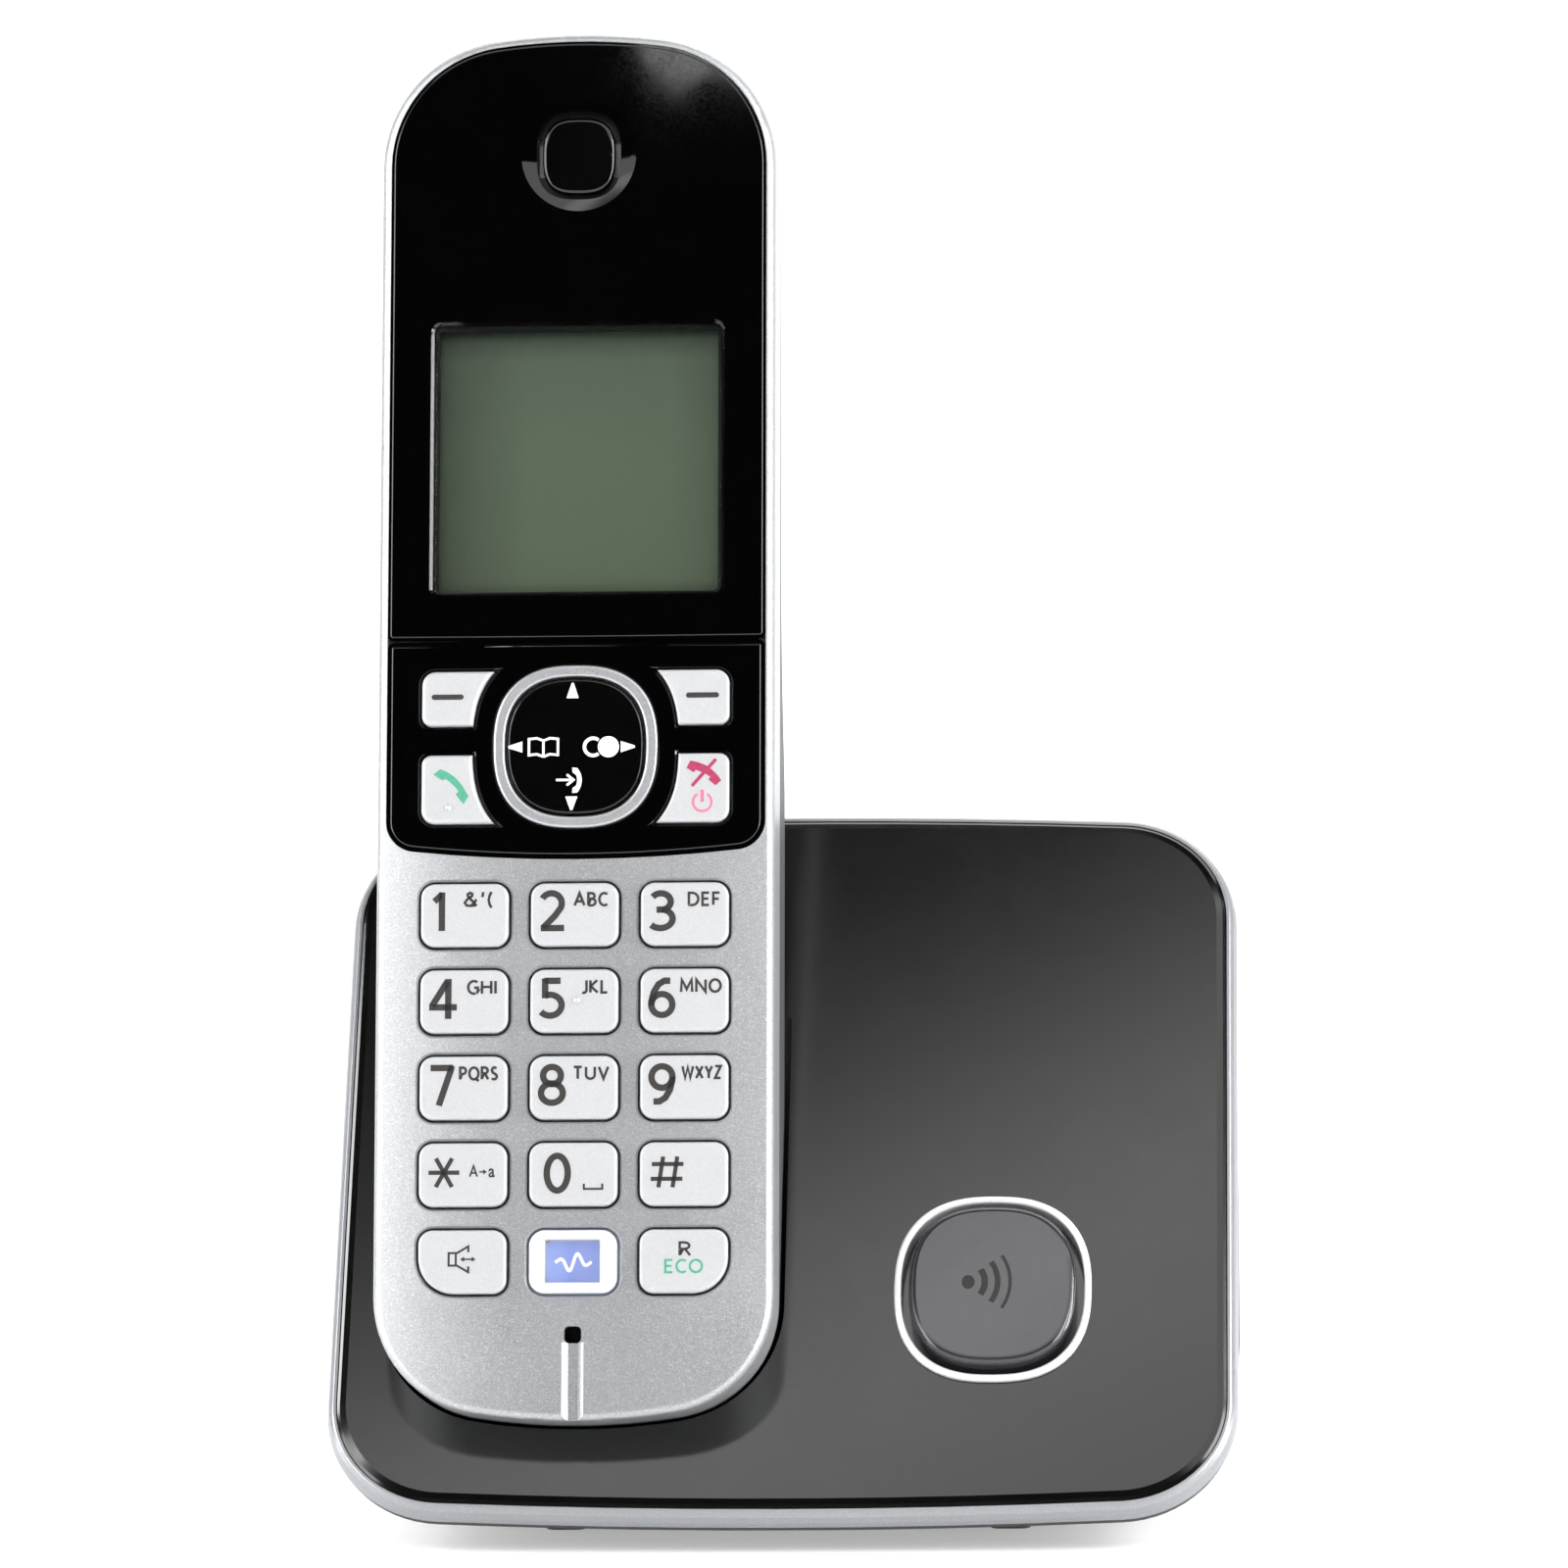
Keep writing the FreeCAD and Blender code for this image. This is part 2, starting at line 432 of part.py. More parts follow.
def wedge(w):
    """The base's side profile (Y, Z) and its rounded plan, walls moved in by w."""
    zb, yb = HOUSING_Z + w, BASE_DEPTH - w
    sl = (-24.0 / 67.883, 63.5 / 67.883)                 # direction of the sloping back, upwards
    tp = (-math.cos(math.radians(BASE_SLOPE)), math.sin(math.radians(BASE_SLOPE)))   # top surface, forwards
    # a point on each line, moved in by w
    q = (BASE_DEPTH - w * sl[1], 34.0 + w * sl[0])
    a0 = math.radians(BASE_SLOPE)
    r = (BASE_L * math.sin(a0) - w * math.sin(a0), BASE_FRONT_Z + BASE_L * math.cos(a0) - w * math.cos(a0))
    def cross(p1, d1, p2, d2):
        k = ((p2[0] - p1[0]) * d2[1] - (p2[1] - p1[1]) * d2[0]) / (d1[0] * d2[1] - d1[1] * d2[0])
        return (p1[0] + k * d1[0], p1[1] + k * d1[1])
    A = cross(q, sl, r, tp)
    Bc = cross(q, sl, (yb, 0), (0, 1))
    m = 7.0 - w
    step = lambda p, d, k: (p[0] + d[0] * k, p[1] + d[1] * k)
    P1, P2 = step(A, sl, -m), step(A, tp, m)
    h = (P1[0] + P2[0]) / 2, (P1[1] + P2[1]) / 2
    PM = (h[0] + (A[0] - h[0]) * 0.42, h[1] + (A[1] - h[1]) * 0.42)
    Q1, Q2 = (yb, Bc[1] - 6.0), step(Bc, sl, 6.0)
    g = (Q1[0] + Q2[0]) / 2, (Q1[1] + Q2[1]) / 2
    QM = (g[0] + (Bc[0] - g[0]) * 0.49, g[1] + (Bc[1] - g[1]) * 0.49)
    t = lambda p: (0, p[0], p[1])
    c0, c1 = (yb - 1.5, zb), (yb, zb + 1.5)
    e = [seg(t((-25, zb)), t(c0)), seg(t(c0), t(c1)), seg(t(c1), t(Q1)), arc3(t(Q1), t(QM), t(Q2)), seg(t(Q2), t(P1)),
         arc3(t(P1), t(PM), t(P2)), seg(t(P2), t((P2[0], 99.0))), seg(t((P2[0], 99.0)), t((-25, 99.0))), seg(t((-25, 99.0)), t((-25, zb)))]
    f = Part.Face(Part.Wire(e))
    f.translate(V(-70, 0, 0))
    prof = f.extrude(V(140, 0, 0))
    hw = BASE_W / 2 - 0.3
    plan = slab(rrect(0, (BASE_DEPTH - 60) / 2, 2 * hw - 2 * w, BASE_DEPTH + 60 - 2 * w, (5, 5, 12 - w, 12 - w)), 0, 120)
    # rounded front outline, carried straight back, so the lower corners don't stand out below the rim
    front = put(slab(bo(0.3 + w), -3.9, -3.8), PB)
    back_face = [f for f in front.Faces if abs(f.normalAt(0, 0).dot(PB.Rotation.multVec(V(0, 0, -1))) - 1) < 1e-6][0]
    face = back_face.copy()
    face.translate(V(0, -45, 0))
    return prof.common(plan).common(face.extrude(V(0, 150, 0)))

def slope_slab(d, z0, z1):
    return put(slab(bo(d), z0, z1), PB)

well_in = put(slab(ends(HS_W / 2, 0, 150, HS_RB, HS_rb, 4000.0, 3.0, -WELL_GAP), -HS_D - WELL_GAP, 45), PH)
well_out = put(slab(ends(HS_W / 2, 0, 150, HS_RB, HS_rb, 4000.0, 3.0, -WELL_GAP - WELL_WALL), -HS_D - WELL_GAP - WELL_WALL, 45), PH)

# ---- silver rim
def wire_at(d, z):
    f = bo(d)
    f.translate(V(0, 0, z))
    return f.OuterWire
flare = [(0.0, -RIM_D), (0.12, -1.55), (0.42, -0.62), (RIM_FLARE - 0.12, -0.1), (RIM_FLARE + 0.02, 0.0)]
rim = Part.makeLoft([wire_at(d, z) for d, z in flare], True, True)
rim = rim.cut(slab(bo(RIM_W), -RIM_D - 1, 1))
parts["rim_frame"] = put(rim, PB)

# ---- glossy front plate
hole_ring = slab(squircle(BTN_X, BTN_T, 23.84, 24.84), -12, 5)
bevel = [(PLATE_IN, -1.5), (PLATE_IN, -0.05), (PLATE_IN + 0.35, 0.14), (PLATE_IN + PLATE_BEVEL, PLATE_TOP)]
fp = Part.makeLoft([wire_at(d, z) for d, z in bevel], True, True)
fp = fp.cut(hole_ring)
parts["front_plate"] = put(fp, PB).cut(well_in).removeSplitter()

# ---- upper housing with the cradle
W0 = wedge(0.0)
outer = slope_slab(0.3, -99, -RIM_D - 0.05).common(W0)
hollow = slope_slab(0.3 + WALL_B, -99, -4.8).common(wedge(WALL_B))
plat = slope_slab(2.1, -4.8, -1.55)
frontw = slope_slab(0.3, -4.8, -RIM_D - 0.05).common(W0)
shell = outer.cut(hollow)
up = shell.common(box(-70, 70, -30, 100, SPLIT_Z, 120))
up = fuse(up, plat, frontw)
wellwall = well_out.common(fuse(outer, plat))
up = up.fuse(wellwall)
up = up.cut(well_in)
# page button passage, board posts
up = up.cut(put(slab(squircle(BTN_X, BTN_T, 23.2, 24.2), -6, 0), PB))
posts = [put(cyl(BTN_X + sx * 14.5, BTN_T, -13.0, -4.5, 1.8), PB) for sx in (-1, 1)]
# screw posts
SCREWS = ((-42, 71), (42, 71), (42, 15))
def post(x, y, z1):
    return cyl(x, y, SPLIT_Z, z1, 3.0)
webs = [post(-42, 71, 30), post(42, 71, 30), post(42, 15, 17.0),
        box(-43, -41, 71, BASE_DEPTH - 1, SPLIT_Z, 30), box(41, 43, 71, BASE_DEPTH - 1, SPLIT_Z, 30)]
up = fuse(up, *(posts + webs))
up = up.cut(Part.makeCompound([cyl(x, y, SPLIT_Z - 1, SPLIT_Z + 9, 1.27) for x, y in SCREWS]))
# charge contact slots through the cradle floor
slots = [put(box(sx * 13 - 1.35, sx * 13 + 1.35, -5, 3, -18.85, -15.15), PH) for sx in (-1, 1)]
up = up.cut(Part.makeCompound(slots))
# sockets in the back wall
LJ = (17.0, 30.4, 11.3, 24.0)     # line socket x0, x1, z0, z1
DJ = (-13.0, -3.0, 11.3, 21.3)    # power socket
up = up.cut(box(LJ[0] - 0.3, LJ[1] + 0.3, BASE_DEPTH - 5, BASE_DEPTH + 2, LJ[2] - 0.3, LJ[3] + 0.3))
up = up.cut(box(DJ[0] - 0.3, DJ[1] + 0.3, BASE_DEPTH - 5, BASE_DEPTH + 2, DJ[2] - 0.3, DJ[3] + 0.3))
parts["upper_housing"] = up.removeSplitter()

# ---- bottom cover
low = outer.common(box(-70, 70, -30, 100, -5, SPLIT_Z - 0.05)).common(slope_slab(-5, -99, -4.85))
low = low.cut(hollow.common(box(-70, 70, -30, 100, HOUSING_Z + 2.0, 50)))
feet_xy = [(-27, 24.0), (27, 24.0), (-27, 66.0), (27, 66.0)]
low = fuse(low, *[slab(rrect(x, y, 8.0, 13.0, 1.5), 0.6, HOUSING_Z + 1.2) for x, y in feet_xy])
low = low.cut(Part.makeCompound([slab(rrect(x, y, 4.9, 9.8, 1.2), 0, 1.7) for x, y in feet_xy]))
stand = [(-33, 40), (33, 30), (-33, 70), (33, 74)]
low = fuse(low, *[cyl(x, y, HOUSING_Z + 1.5, 10.0, 2.4) for x, y in stand])
for x, y in SCREWS:
    low = low.fuse(cyl(x, y, HOUSING_Z + 1.3, SPLIT_Z - 0.05, 3.2))
    low = low.cut(cyl(x, y, 0, SPLIT_Z + 1, 1.4)).cut(cyl(x, y, 0, 5.3, 2.5))
parts["bottom_cover"] = low.removeSplitter()
parts["rubber_feet"] = Part.makeCompound([slab(rrect(x, y, 4.8, 9.7, 1.15), 0, 1.69) for x, y in feet_xy])
parts["base_screws"] = Part.makeCompound([screw(x, y, 3.9, 2.3, 1.35, 1.25, 15.5) for x, y in SCREWS])

# ---- page button group
rg = slab(squircle(BTN_X, BTN_T, 23.8, 24.8), -1.5, 0.95).cut(slab(squircle(BTN_X, BTN_T, 22.0, 23.0), -3, 3))
parts["page_button_ring"] = put(soften(rg, edges_at(rg, 0.95), 0.3), PB)
pb = slab(squircle(BTN_X, BTN_T, 20.2, 21.2), -2.4, 2.1)
pb = soften(pb, edges_at(pb, 2.1), 0.9)
pb = pb.fuse(slab(squircle(BTN_X, BTN_T, 22.5, 23.5), -2.9, -1.7)).fuse(cyl(BTN_X, BTN_T, -8.0, -2.8, 2.5))
parts["page_button"] = put(pb.removeSplitter(), PB)
sw = box(BTN_X - 3, BTN_X + 3, BTN_T - 3, BTN_T + 3, -13.0, -10.0).fuse(cyl(BTN_X, BTN_T, -10.0, -9.1, 1.7)).removeSplitter()
parts["page_switch"] = put(sw, PB)
bd = slab(rrect(BTN_X, BTN_T, 34.0, 16.0, 1.5), -14.4, -13.02)
parts["page_board"] = put(bd, PB)

# ---- main board and what stands on it
b1 = box(-38, 38, 34, 76.0, 10.02, 11.22).fuse(box(5, 38, 22, 34, 10.02, 11.22)).removeSplitter()
b1 = fuse(b1, box(-8, 12, 44, 60, 11.2, 13.4), box(-26, -16, 46, 56, 11.2, 13.0), cyl(-20, 66, 11.2, 20, 4.0), cyl(26, 52, 11.2, 17, 3.2))
parts["base_pcb"] = b1.removeSplitter()
lj = box(LJ[0], LJ[1], 63.5, BASE_DEPTH - 0.2, LJ[2], LJ[3])
lj = lj.cut(box(LJ[0] + 1.85, LJ[1] - 1.85, BASE_DEPTH - 12.5, BASE_DEPTH + 1, LJ[2] + 2.4, LJ[2] + 9.1))
lj = lj.cut(box(LJ[0] + 4.7, LJ[1] - 4.7, BASE_DEPTH - 8.0, BASE_DEPTH + 1, LJ[2] + 9.0, LJ[2] + 11.0))
parts["line_socket"] = lj.removeSplitter()
dj = box(DJ[0], DJ[1], 66.5, BASE_DEPTH - 0.2, DJ[2], DJ[3])
cx, cz = (DJ[0] + DJ[1]) / 2, (DJ[2] + DJ[3]) / 2
dj = dj.cut(Part.makeCylinder(2.8, 10, V(cx, BASE_DEPTH - 9.5, cz), V(0, 1, 0))).fuse(Part.makeCylinder(0.85, 9.5, V(cx, BASE_DEPTH - 10.5, cz), V(0, 1, 0)))
parts["power_socket"] = dj.removeSplitter()
parts["antennas"] = Part.makeCompound([box(-36, -35.6, 42, 58, 11.24, 27), box(-35.6, -30, 42, 43.2, 26.6, 27).fuse(box(-35.6, -30, 43.2, 58, 26.6, 27)).removeSplitter(),
                                       box(35.6, 36, 38, 54, 11.24, 27), box(30, 35.6, 38, 54, 26.6, 27)])

# ---- charge contacts of the cradle
for nm, sx in (("charge_contact_left", -1), ("charge_contact_right", 1)):
    c = box(sx * 13 - 1.0, sx * 13 + 1.0, -5.4, 0.0, -18.5, -15.5)
    c = c.fuse(Part.makeCylinder(1.0, 3.0, V(sx * 13, 0.0, -18.5), V(0, 0, 1)))
    c = c.fuse(box(sx * 13 - 2.2, sx * 13 + 2.2, -5.4, -4.6, -19.2, -14.8))
    parts[nm] = put(c.removeSplitter(), PH)

# ---------------------------------------------------------------- write out
for name, shape in parts.items():
    s = shape.copy()
    s.translate(V(0, Y_SHIFT, 0))
    s.exportStep("parts/%s.step" % name)
print("nodes", len(parts))
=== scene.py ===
import bpy, bmesh, json, math
from mathutils import Vector, Matrix


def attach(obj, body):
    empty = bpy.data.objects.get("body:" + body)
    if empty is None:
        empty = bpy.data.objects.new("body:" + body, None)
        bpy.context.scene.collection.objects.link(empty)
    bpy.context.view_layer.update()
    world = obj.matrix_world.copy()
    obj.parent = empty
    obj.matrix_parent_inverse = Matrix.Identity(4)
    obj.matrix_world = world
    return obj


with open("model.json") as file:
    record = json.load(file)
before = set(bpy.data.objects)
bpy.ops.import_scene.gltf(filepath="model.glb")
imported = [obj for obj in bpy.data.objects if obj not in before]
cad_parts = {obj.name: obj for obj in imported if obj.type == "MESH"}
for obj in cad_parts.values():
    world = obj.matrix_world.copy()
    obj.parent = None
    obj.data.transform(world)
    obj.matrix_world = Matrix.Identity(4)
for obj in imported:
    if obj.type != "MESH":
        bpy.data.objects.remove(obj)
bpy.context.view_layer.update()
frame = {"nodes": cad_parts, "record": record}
N = frame["nodes"]
MM = 0.001

# ------------------------------------------------------------------ local frames of the handset face and of the base's front plate
def local(ox, oy, oz, deg):
    a = math.radians(deg)
    s, c = math.sin(a), math.cos(a)
    return Matrix(((1, 0, 0, ox * MM), (0, s, -c, oy * MM), (0, c, s, oz * MM), (0, 0, 0, 1)))

HS = local(-24.3, -40.0, 16.5, 14.0)      # u, s along the handset, n out of its face
PL = local(0.0, -40.0, 5.0, 35.0)         # u, t up the slope, n out of the plate
HSI, PLI = HS.inverted(), PL.inverted()

def lin(r, g, b):
    f = lambda v: v / 12.92 if v <= 0.04045 else ((v + 0.055) / 1.055) ** 2.4
    return (f(r / 255), f(g / 255), f(b / 255), 1.0)

# ------------------------------------------------------------------ node helpers
class Mat:
    def __init__(self, name):
        self.m = bpy.data.materials.new(name)
        self.m.use_nodes = True
        self.t = self.m.node_tree
        self.b = self.t.nodes["Principled BSDF"]
        self.tc = self.t.nodes.new("ShaderNodeTexCoord")
        self.obj = self.tc.outputs["Object"]

    def n(self, kind, **kw):
        x = self.t.nodes.new(kind)
        for k, v in kw.items():
            setattr(x, k, v)
        return x

    def link(self, a, b):
        self.t.links.new(a, b)

    def mapping(self, mat):
        """Coordinates in millimetres in a local frame."""
        loc, rot, _ = mat.inverted().decompose()
        mp = self.n("ShaderNodeMapping", vector_type="POINT")
        mp.inputs["Scale"].default_value = (1000, 1000, 1000)
        mp.inputs["Rotation"].default_value = rot.to_euler()
        mp.inputs["Location"].default_value = loc * 1000
        self.link(self.obj, mp.inputs["Vector"])
        return mp.outputs["Vector"]

    def noise(self, per_m, detail=2.0, rough=0.5, vec=None, dist=0.0):
        x = self.n("ShaderNodeTexNoise")
        x.inputs["Scale"].default_value = per_m
        x.inputs["Detail"].default_value = detail
        x.inputs["Roughness"].default_value = rough
        x.inputs["Distortion"].default_value = dist
        self.link(vec or self.obj, x.inputs["Vector"])
        return x.outputs["Fac"]

    def voro(self, per_m, vec=None):
        x = self.n("ShaderNodeTexVoronoi")
        x.inputs["Scale"].default_value = per_m
        self.link(vec or self.obj, x.inputs["Vector"])
        sep = self.n("ShaderNodeSeparateColor")
        self.link(x.outputs["Color"], sep.inputs["Color"])
        return sep.outputs[0]

    def rng(self, sock, a, b, c, d):
        x = self.n("ShaderNodeMapRange")
        for i, v in enumerate((a, b, c, d)):
            x.inputs[i + 1].default_value = v
        self.link(sock, x.inputs[0])
        return x.outputs[0]

    def math(self, op, a, b=0.0):
        x = self.n("ShaderNodeMath", operation=op)
        for i, v in enumerate((a, b)):
            if isinstance(v, (int, float)):
                x.inputs[i].default_value = v
            else:
                self.link(v, x.inputs[i])
        return x.outputs[0]

    def ramp(self, sock, stops, interp="LINEAR"):
        x = self.n("ShaderNodeValToRGB")
        x.color_ramp.interpolation = interp
        e = x.color_ramp.elements
        while len(e) > 1:
            e.remove(e[-1])
        for i, (p, c) in enumerate(stops):
            el = e[0] if i == 0 else e.new(p)
            el.position = p
            el.color = c
        self.link(sock, x.inputs[0])
        return x.outputs["Color"]

    def mix(self, fac, a, b, blend="MIX"):
        x = self.n("ShaderNodeMix", data_type="RGBA", blend_type=blend)
        if isinstance(fac, (int, float)):
            x.inputs["Factor"].default_value = fac
        else:
            self.link(fac, x.inputs["Factor"])
        for i, v in ((6, a), (7, b)):
            if isinstance(v, tuple):
                x.inputs[i].default_value = v
            else:
                self.link(v, x.inputs[i])
        return x.outputs[2]

    def bump(self, height, strength, dist_mm, normal=None):
        x = self.n("ShaderNodeBump")
        x.inputs["Strength"].default_value = strength
        x.inputs["Distance"].default_value = dist_mm * MM
        self.link(height, x.inputs["Height"])
        if normal is not None:
            self.link(normal, x.inputs["Normal"])
        return x.outputs["Normal"]

    def set(self, **kw):
        names = {"color": "Base Color", "rough": "Roughness", "metal": "Metallic", "normal": "Normal", "ior": "IOR", "coat": "Coat Weight",
                 "coat_rough": "Coat Roughness", "spec": "Specular IOR Level", "alpha": "Alpha", "trans": "Transmission Weight", "sheen": "Sheen Weight", "emit": "Emission Color", "emit_s": "Emission Strength"}
        for k, v in kw.items():
            s = self.b.inputs[names[k]]
            if isinstance(v, bpy.types.NodeSocket):
                self.link(v, s)
            else:
                s.default_value = v
        return self

def scaled(c, k):
    return (min(c[0] * k, 1), min(c[1] * k, 1), min(c[2] * k, 1), 1)

def lacquer(name, col, metal, rough, flake=9.0, flake_amt=0.16, bump=0.10, bow=0.0, bare_recess_painted_hole_shade=False):
    """Silver paint with fine flakes. bow: a slight crown across the handset's face. The mask flag leaves bare dark
    plastic in the panel recess and paints the microphone hole's walls near-black as painted shade.
    """
    m = Mat(name)
    f = m.voro(1000 / (1.0 / flake))
    cl = m.noise(110, 3, 0.55)
    c1 = m.ramp(f, [(0.0, scaled(col, 1 - flake_amt)), (0.55, col), (0.86, scaled(col, 1 + flake_amt * 0.5)), (1.0, scaled(col, 1 + flake_amt * 2.6))])
    c2 = m.mix(m.rng(cl, 0.3, 0.7, 0.0, 0.10), c1, scaled(col, 0.82))
    r = m.math("ADD", m.rng(f, 0, 1, rough - 0.05, rough + 0.05), m.rng(cl, 0.3, 0.7, -0.03, 0.03))
    nrm = m.bump(f, bump, 0.02)
    nrm = m.bump(m.noise(1500, 2, 0.6), 0.05, 0.02, nrm)
    if bow or bare_recess_painted_hole_shade:
        v = m.mapping(HS)
        sep = m.n("ShaderNodeSeparateXYZ")
        m.link(v, sep.inputs[0])
        X, Y, Z = sep.outputs
    if bow:
        crown = m.math("MULTIPLY", m.math("MULTIPLY", X, X), -bow)
        nrm = m.bump(crown, 1.0, 1.0, nrm)
    if bare_recess_painted_hole_shade:
        ax = m.math("ABSOLUTE", X)
        # panel recess below -1.1 mm: bare unpainted plastic
        a = m.math("MULTIPLY", m.math("LESS_THAN", Z, -1.1), m.math("LESS_THAN", ax, 22.0))
        a = m.math("MULTIPLY", a, m.math("MULTIPLY", m.math("GREATER_THAN", Y, 67.0), m.math("LESS_THAN", Y, 160.0)))
        # microphone hole walls below -0.62 mm: painted shade, near-black
        b = m.math("MULTIPLY", m.math("LESS_THAN", Z, -0.62), m.math("LESS_THAN", ax, 1.3))
        b = m.math("MULTIPLY", b, m.math("MULTIPLY", m.math("GREATER_THAN", Y, 9.0), m.math("LESS_THAN", Y, 11.6)))
        k = m.math("MAXIMUM", a, b)
        # near-black colour: bare plastic in the recess, painted shade in the microphone hole
        c2 = m.mix(k, c2, (0.0015, 0.0015, 0.0016, 1))
        met = m.rng(k, 0, 1, metal, 0.0)
        return m.set(color=c2, rough=r, metal=met, normal=nrm)
    return m.set(color=c2, rough=r, metal=metal, normal=nrm)

def gloss(name, col, rough=0.06, wave=0.015, spec=0.5, flake=0.0):
    """Piano black plastic: faint orange peel, dust and fine wipe marks in the roughness."""
    m = Mat(name)
    peel = m.noise(260, 2, 0.5)
    wipe = m.noise(60, 5, 0.65, dist=1.2)
    c = m.mix(m.rng(wipe, 0.35, 0.75, 0.0, 1.0), scaled(col, 0.85), scaled(col, 1.25))
    r = m.math("ADD", m.rng(wipe, 0.3, 0.8, rough, rough + 0.03), m.rng(m.noise(2600, 2, 0.6), 0.3, 0.7, -0.01, 0.015))
    if flake:
        fl = m.voro(7000)
        c = m.mix(m.rng(fl, 0.5, 1.0, 0.0, flake), c, scaled(col, 3.0))
    return m.set(color=c, rough=r, spec=spec, normal=m.bump(peel, wave, 0.05))

def moulded(name, col, rough=0.55, grain=1400, bump=0.35, depth=0.03, var=0.12):
    """Moulded plastic with a fine spark-eroded texture."""
    m = Mat(name)
    g = m.noise(grain, 3, 0.6)
    cl = m.noise(45, 4, 0.6)
    c = m.mix(m.rng(cl, 0.3, 0.7, 0.0, 1.0), scaled(col, 1 - var), scaled(col, 1 + var))
    c = m.mix(m.rng(g, 0.35, 0.65, 0.0, 0.35), c, scaled(col, 1.35))
    r = m.math("ADD", m.rng(g, 0.3, 0.7, rough - 0.07, rough + 0.07), m.rng(cl, 0.3, 0.7, -0.04, 0.05))
    return m.set(color=c, rough=r, normal=m.bump(g, bump, depth))

def metal(name, col, rough=0.25, brushed=(1, 1, 1), bump=0.08):
    m = Mat(name)
    mp = m.n("ShaderNodeMapping")
    mp.inputs["Scale"].default_value = brushed
    m.link(m.obj, mp.inputs["Vector"])
    g = m.noise(2200, 3, 0.6, vec=mp.outputs["Vector"])
    cl = m.noise(180, 3, 0.6)
    c = m.mix(m.rng(cl, 0.3, 0.7, 0.0, 1.0), scaled(col, 0.85), scaled(col, 1.08))
    r = m.math("ADD", m.rng(g, 0.3, 0.7, rough - 0.06, rough + 0.08), m.rng(cl, 0.3, 0.7, -0.03, 0.06))
    return m.set(color=c, rough=r, metal=1.0, normal=m.bump(g, bump, 0.02))

def ink(name, col, rough=0.45, spec=0.4):
    m = Mat(name)
    g = m.noise(3000, 2, 0.6)
    c = m.mix(m.rng(g, 0.35, 0.65, 0.0, 1.0), scaled(col, 0.9), scaled(col, 1.1))
    return m.set(color=c, rough=m.rng(g, 0.3, 0.7, rough - 0.06, rough + 0.06), spec=spec, normal=m.bump(g, 0.06, 0.01))

# ------------------------------------------------------------------ materials
SILVER = lin(206, 208, 210)
mat = {}
# silver paint: bare plastic in the panel recess, painted shade in the microphone hole
mat["silver_paint"] = lacquer("silver_paint", lin(158, 160, 162), 0.5, 0.36, bow=0.0062, bare_recess_painted_hole_shade=True)
mat["key_silver"] = lacquer("key_silver", lin(174, 175, 177), 0.10, 0.42, flake_amt=0.05, bump=0.05)
mat["soft_key_silver"] = lacquer("soft_key_silver", lin(174, 175, 177), 0.10, 0.40, flake_amt=0.05, bump=0.05)
mat["ring_chrome"] = lacquer("nav_ring_silver", lin(172, 173, 176), 0.6, 0.34, flake_amt=0.10)
mat["silver_rim"] = lacquer("rim_silver", lin(140, 142, 145), 0.6, 0.36, flake_amt=0.08)
mat["button_ring_silver"] = lacquer("button_ring_silver", lin(224, 225, 227), 0.4, 0.33, flake_amt=0.06)
mat["display_gloss_black"] = gloss("display_gloss_black", lin(1, 1, 1), 0.025, 0.006)
mat["control_gloss_black"] = gloss("control_gloss_black", lin(1, 1, 1), 0.04)
mat["nav_gloss_black"] = gloss("nav_gloss_black", lin(3, 3, 3), 0.05)
mat["cap_gloss_black"] = gloss("cap_gloss_black", lin(3, 3, 3), 0.04)
mat["plate_gloss_black"] = gloss("plate_gloss_black", lin(4, 4, 4), 0.125, spec=0.55, flake=0.22)
mat["button_gloss_grey"] = gloss("button_gloss_grey", lin(44, 44, 47), 0.08, spec=0.55)
mat["charcoal_shell"] = moulded("charcoal_shell", lin(60, 61, 63))
mat["charcoal_cover"] = moulded("charcoal_cover", lin(56, 57, 59))
mat["housing_black"] = moulded("housing_black", lin(38, 38, 40))
mat["cover_black"] = moulded("cover_black", lin(44, 44, 46))
mat["switch_black"] = moulded("switch_black", lin(30, 30, 31), grain=2500)
mat["socket_grey"] = moulded("socket_grey", lin(70, 70, 70), 0.4, grain=2500)
mat["socket_black"] = moulded("socket_black", lin(28, 28, 29), 0.4, grain=2500)
mat["rubber_foot"] = moulded("rubber_foot", lin(74, 74, 75), 0.8, grain=900)
mat["rubber_mat"] = moulded("rubber_mat", lin(190, 191, 193), 0.6, grain=900)
mat["rubber_grey"] = moulded("rubber_grey", lin(120, 120, 122), 0.65, grain=900)
mat["white_frame"] = moulded("white_frame", lin(222, 222, 218), 0.5)
mat["dome_film"] = metal("dome_film", lin(205, 205, 200), 0.30)
mat["contact_metal"] = metal("contact_metal", lin(214, 212, 205), 0.22)
mat["screw_steel"] = metal("screw_steel", lin(170, 170, 172), 0.32)
mat["speaker_metal"] = metal("speaker_metal", lin(160, 160, 162), 0.4)
mat["microphone_metal"] = moulded("microphone_felt", lin(6, 6, 6), 0.9)
mat["tinned_steel"] = metal("tinned_steel", lin(196, 196, 192), 0.3)

# circuit board: solder mask with faint tracks
m = Mat("circuit_board")
br = m.n("ShaderNodeTexBrick")
br.inputs["Scale"].default_value = 420
br.inputs["Color1"].default_value = lin(20, 92, 48)
br.inputs["Color2"].default_value = lin(26, 104, 56)
br.inputs["Mortar"].default_value = lin(46, 132, 74)
br.inputs["Mortar Size"].default_value = 0.03
m.link(m.obj, br.inputs["Vector"])
g = m.noise(900, 3)
m.set(color=br.outputs["Color"], rough=m.rng(g, 0.3, 0.7, 0.22, 0.42), normal=m.bump(br.outputs["Fac"], 0.2, 0.03))
mat["circuit_board"] = m

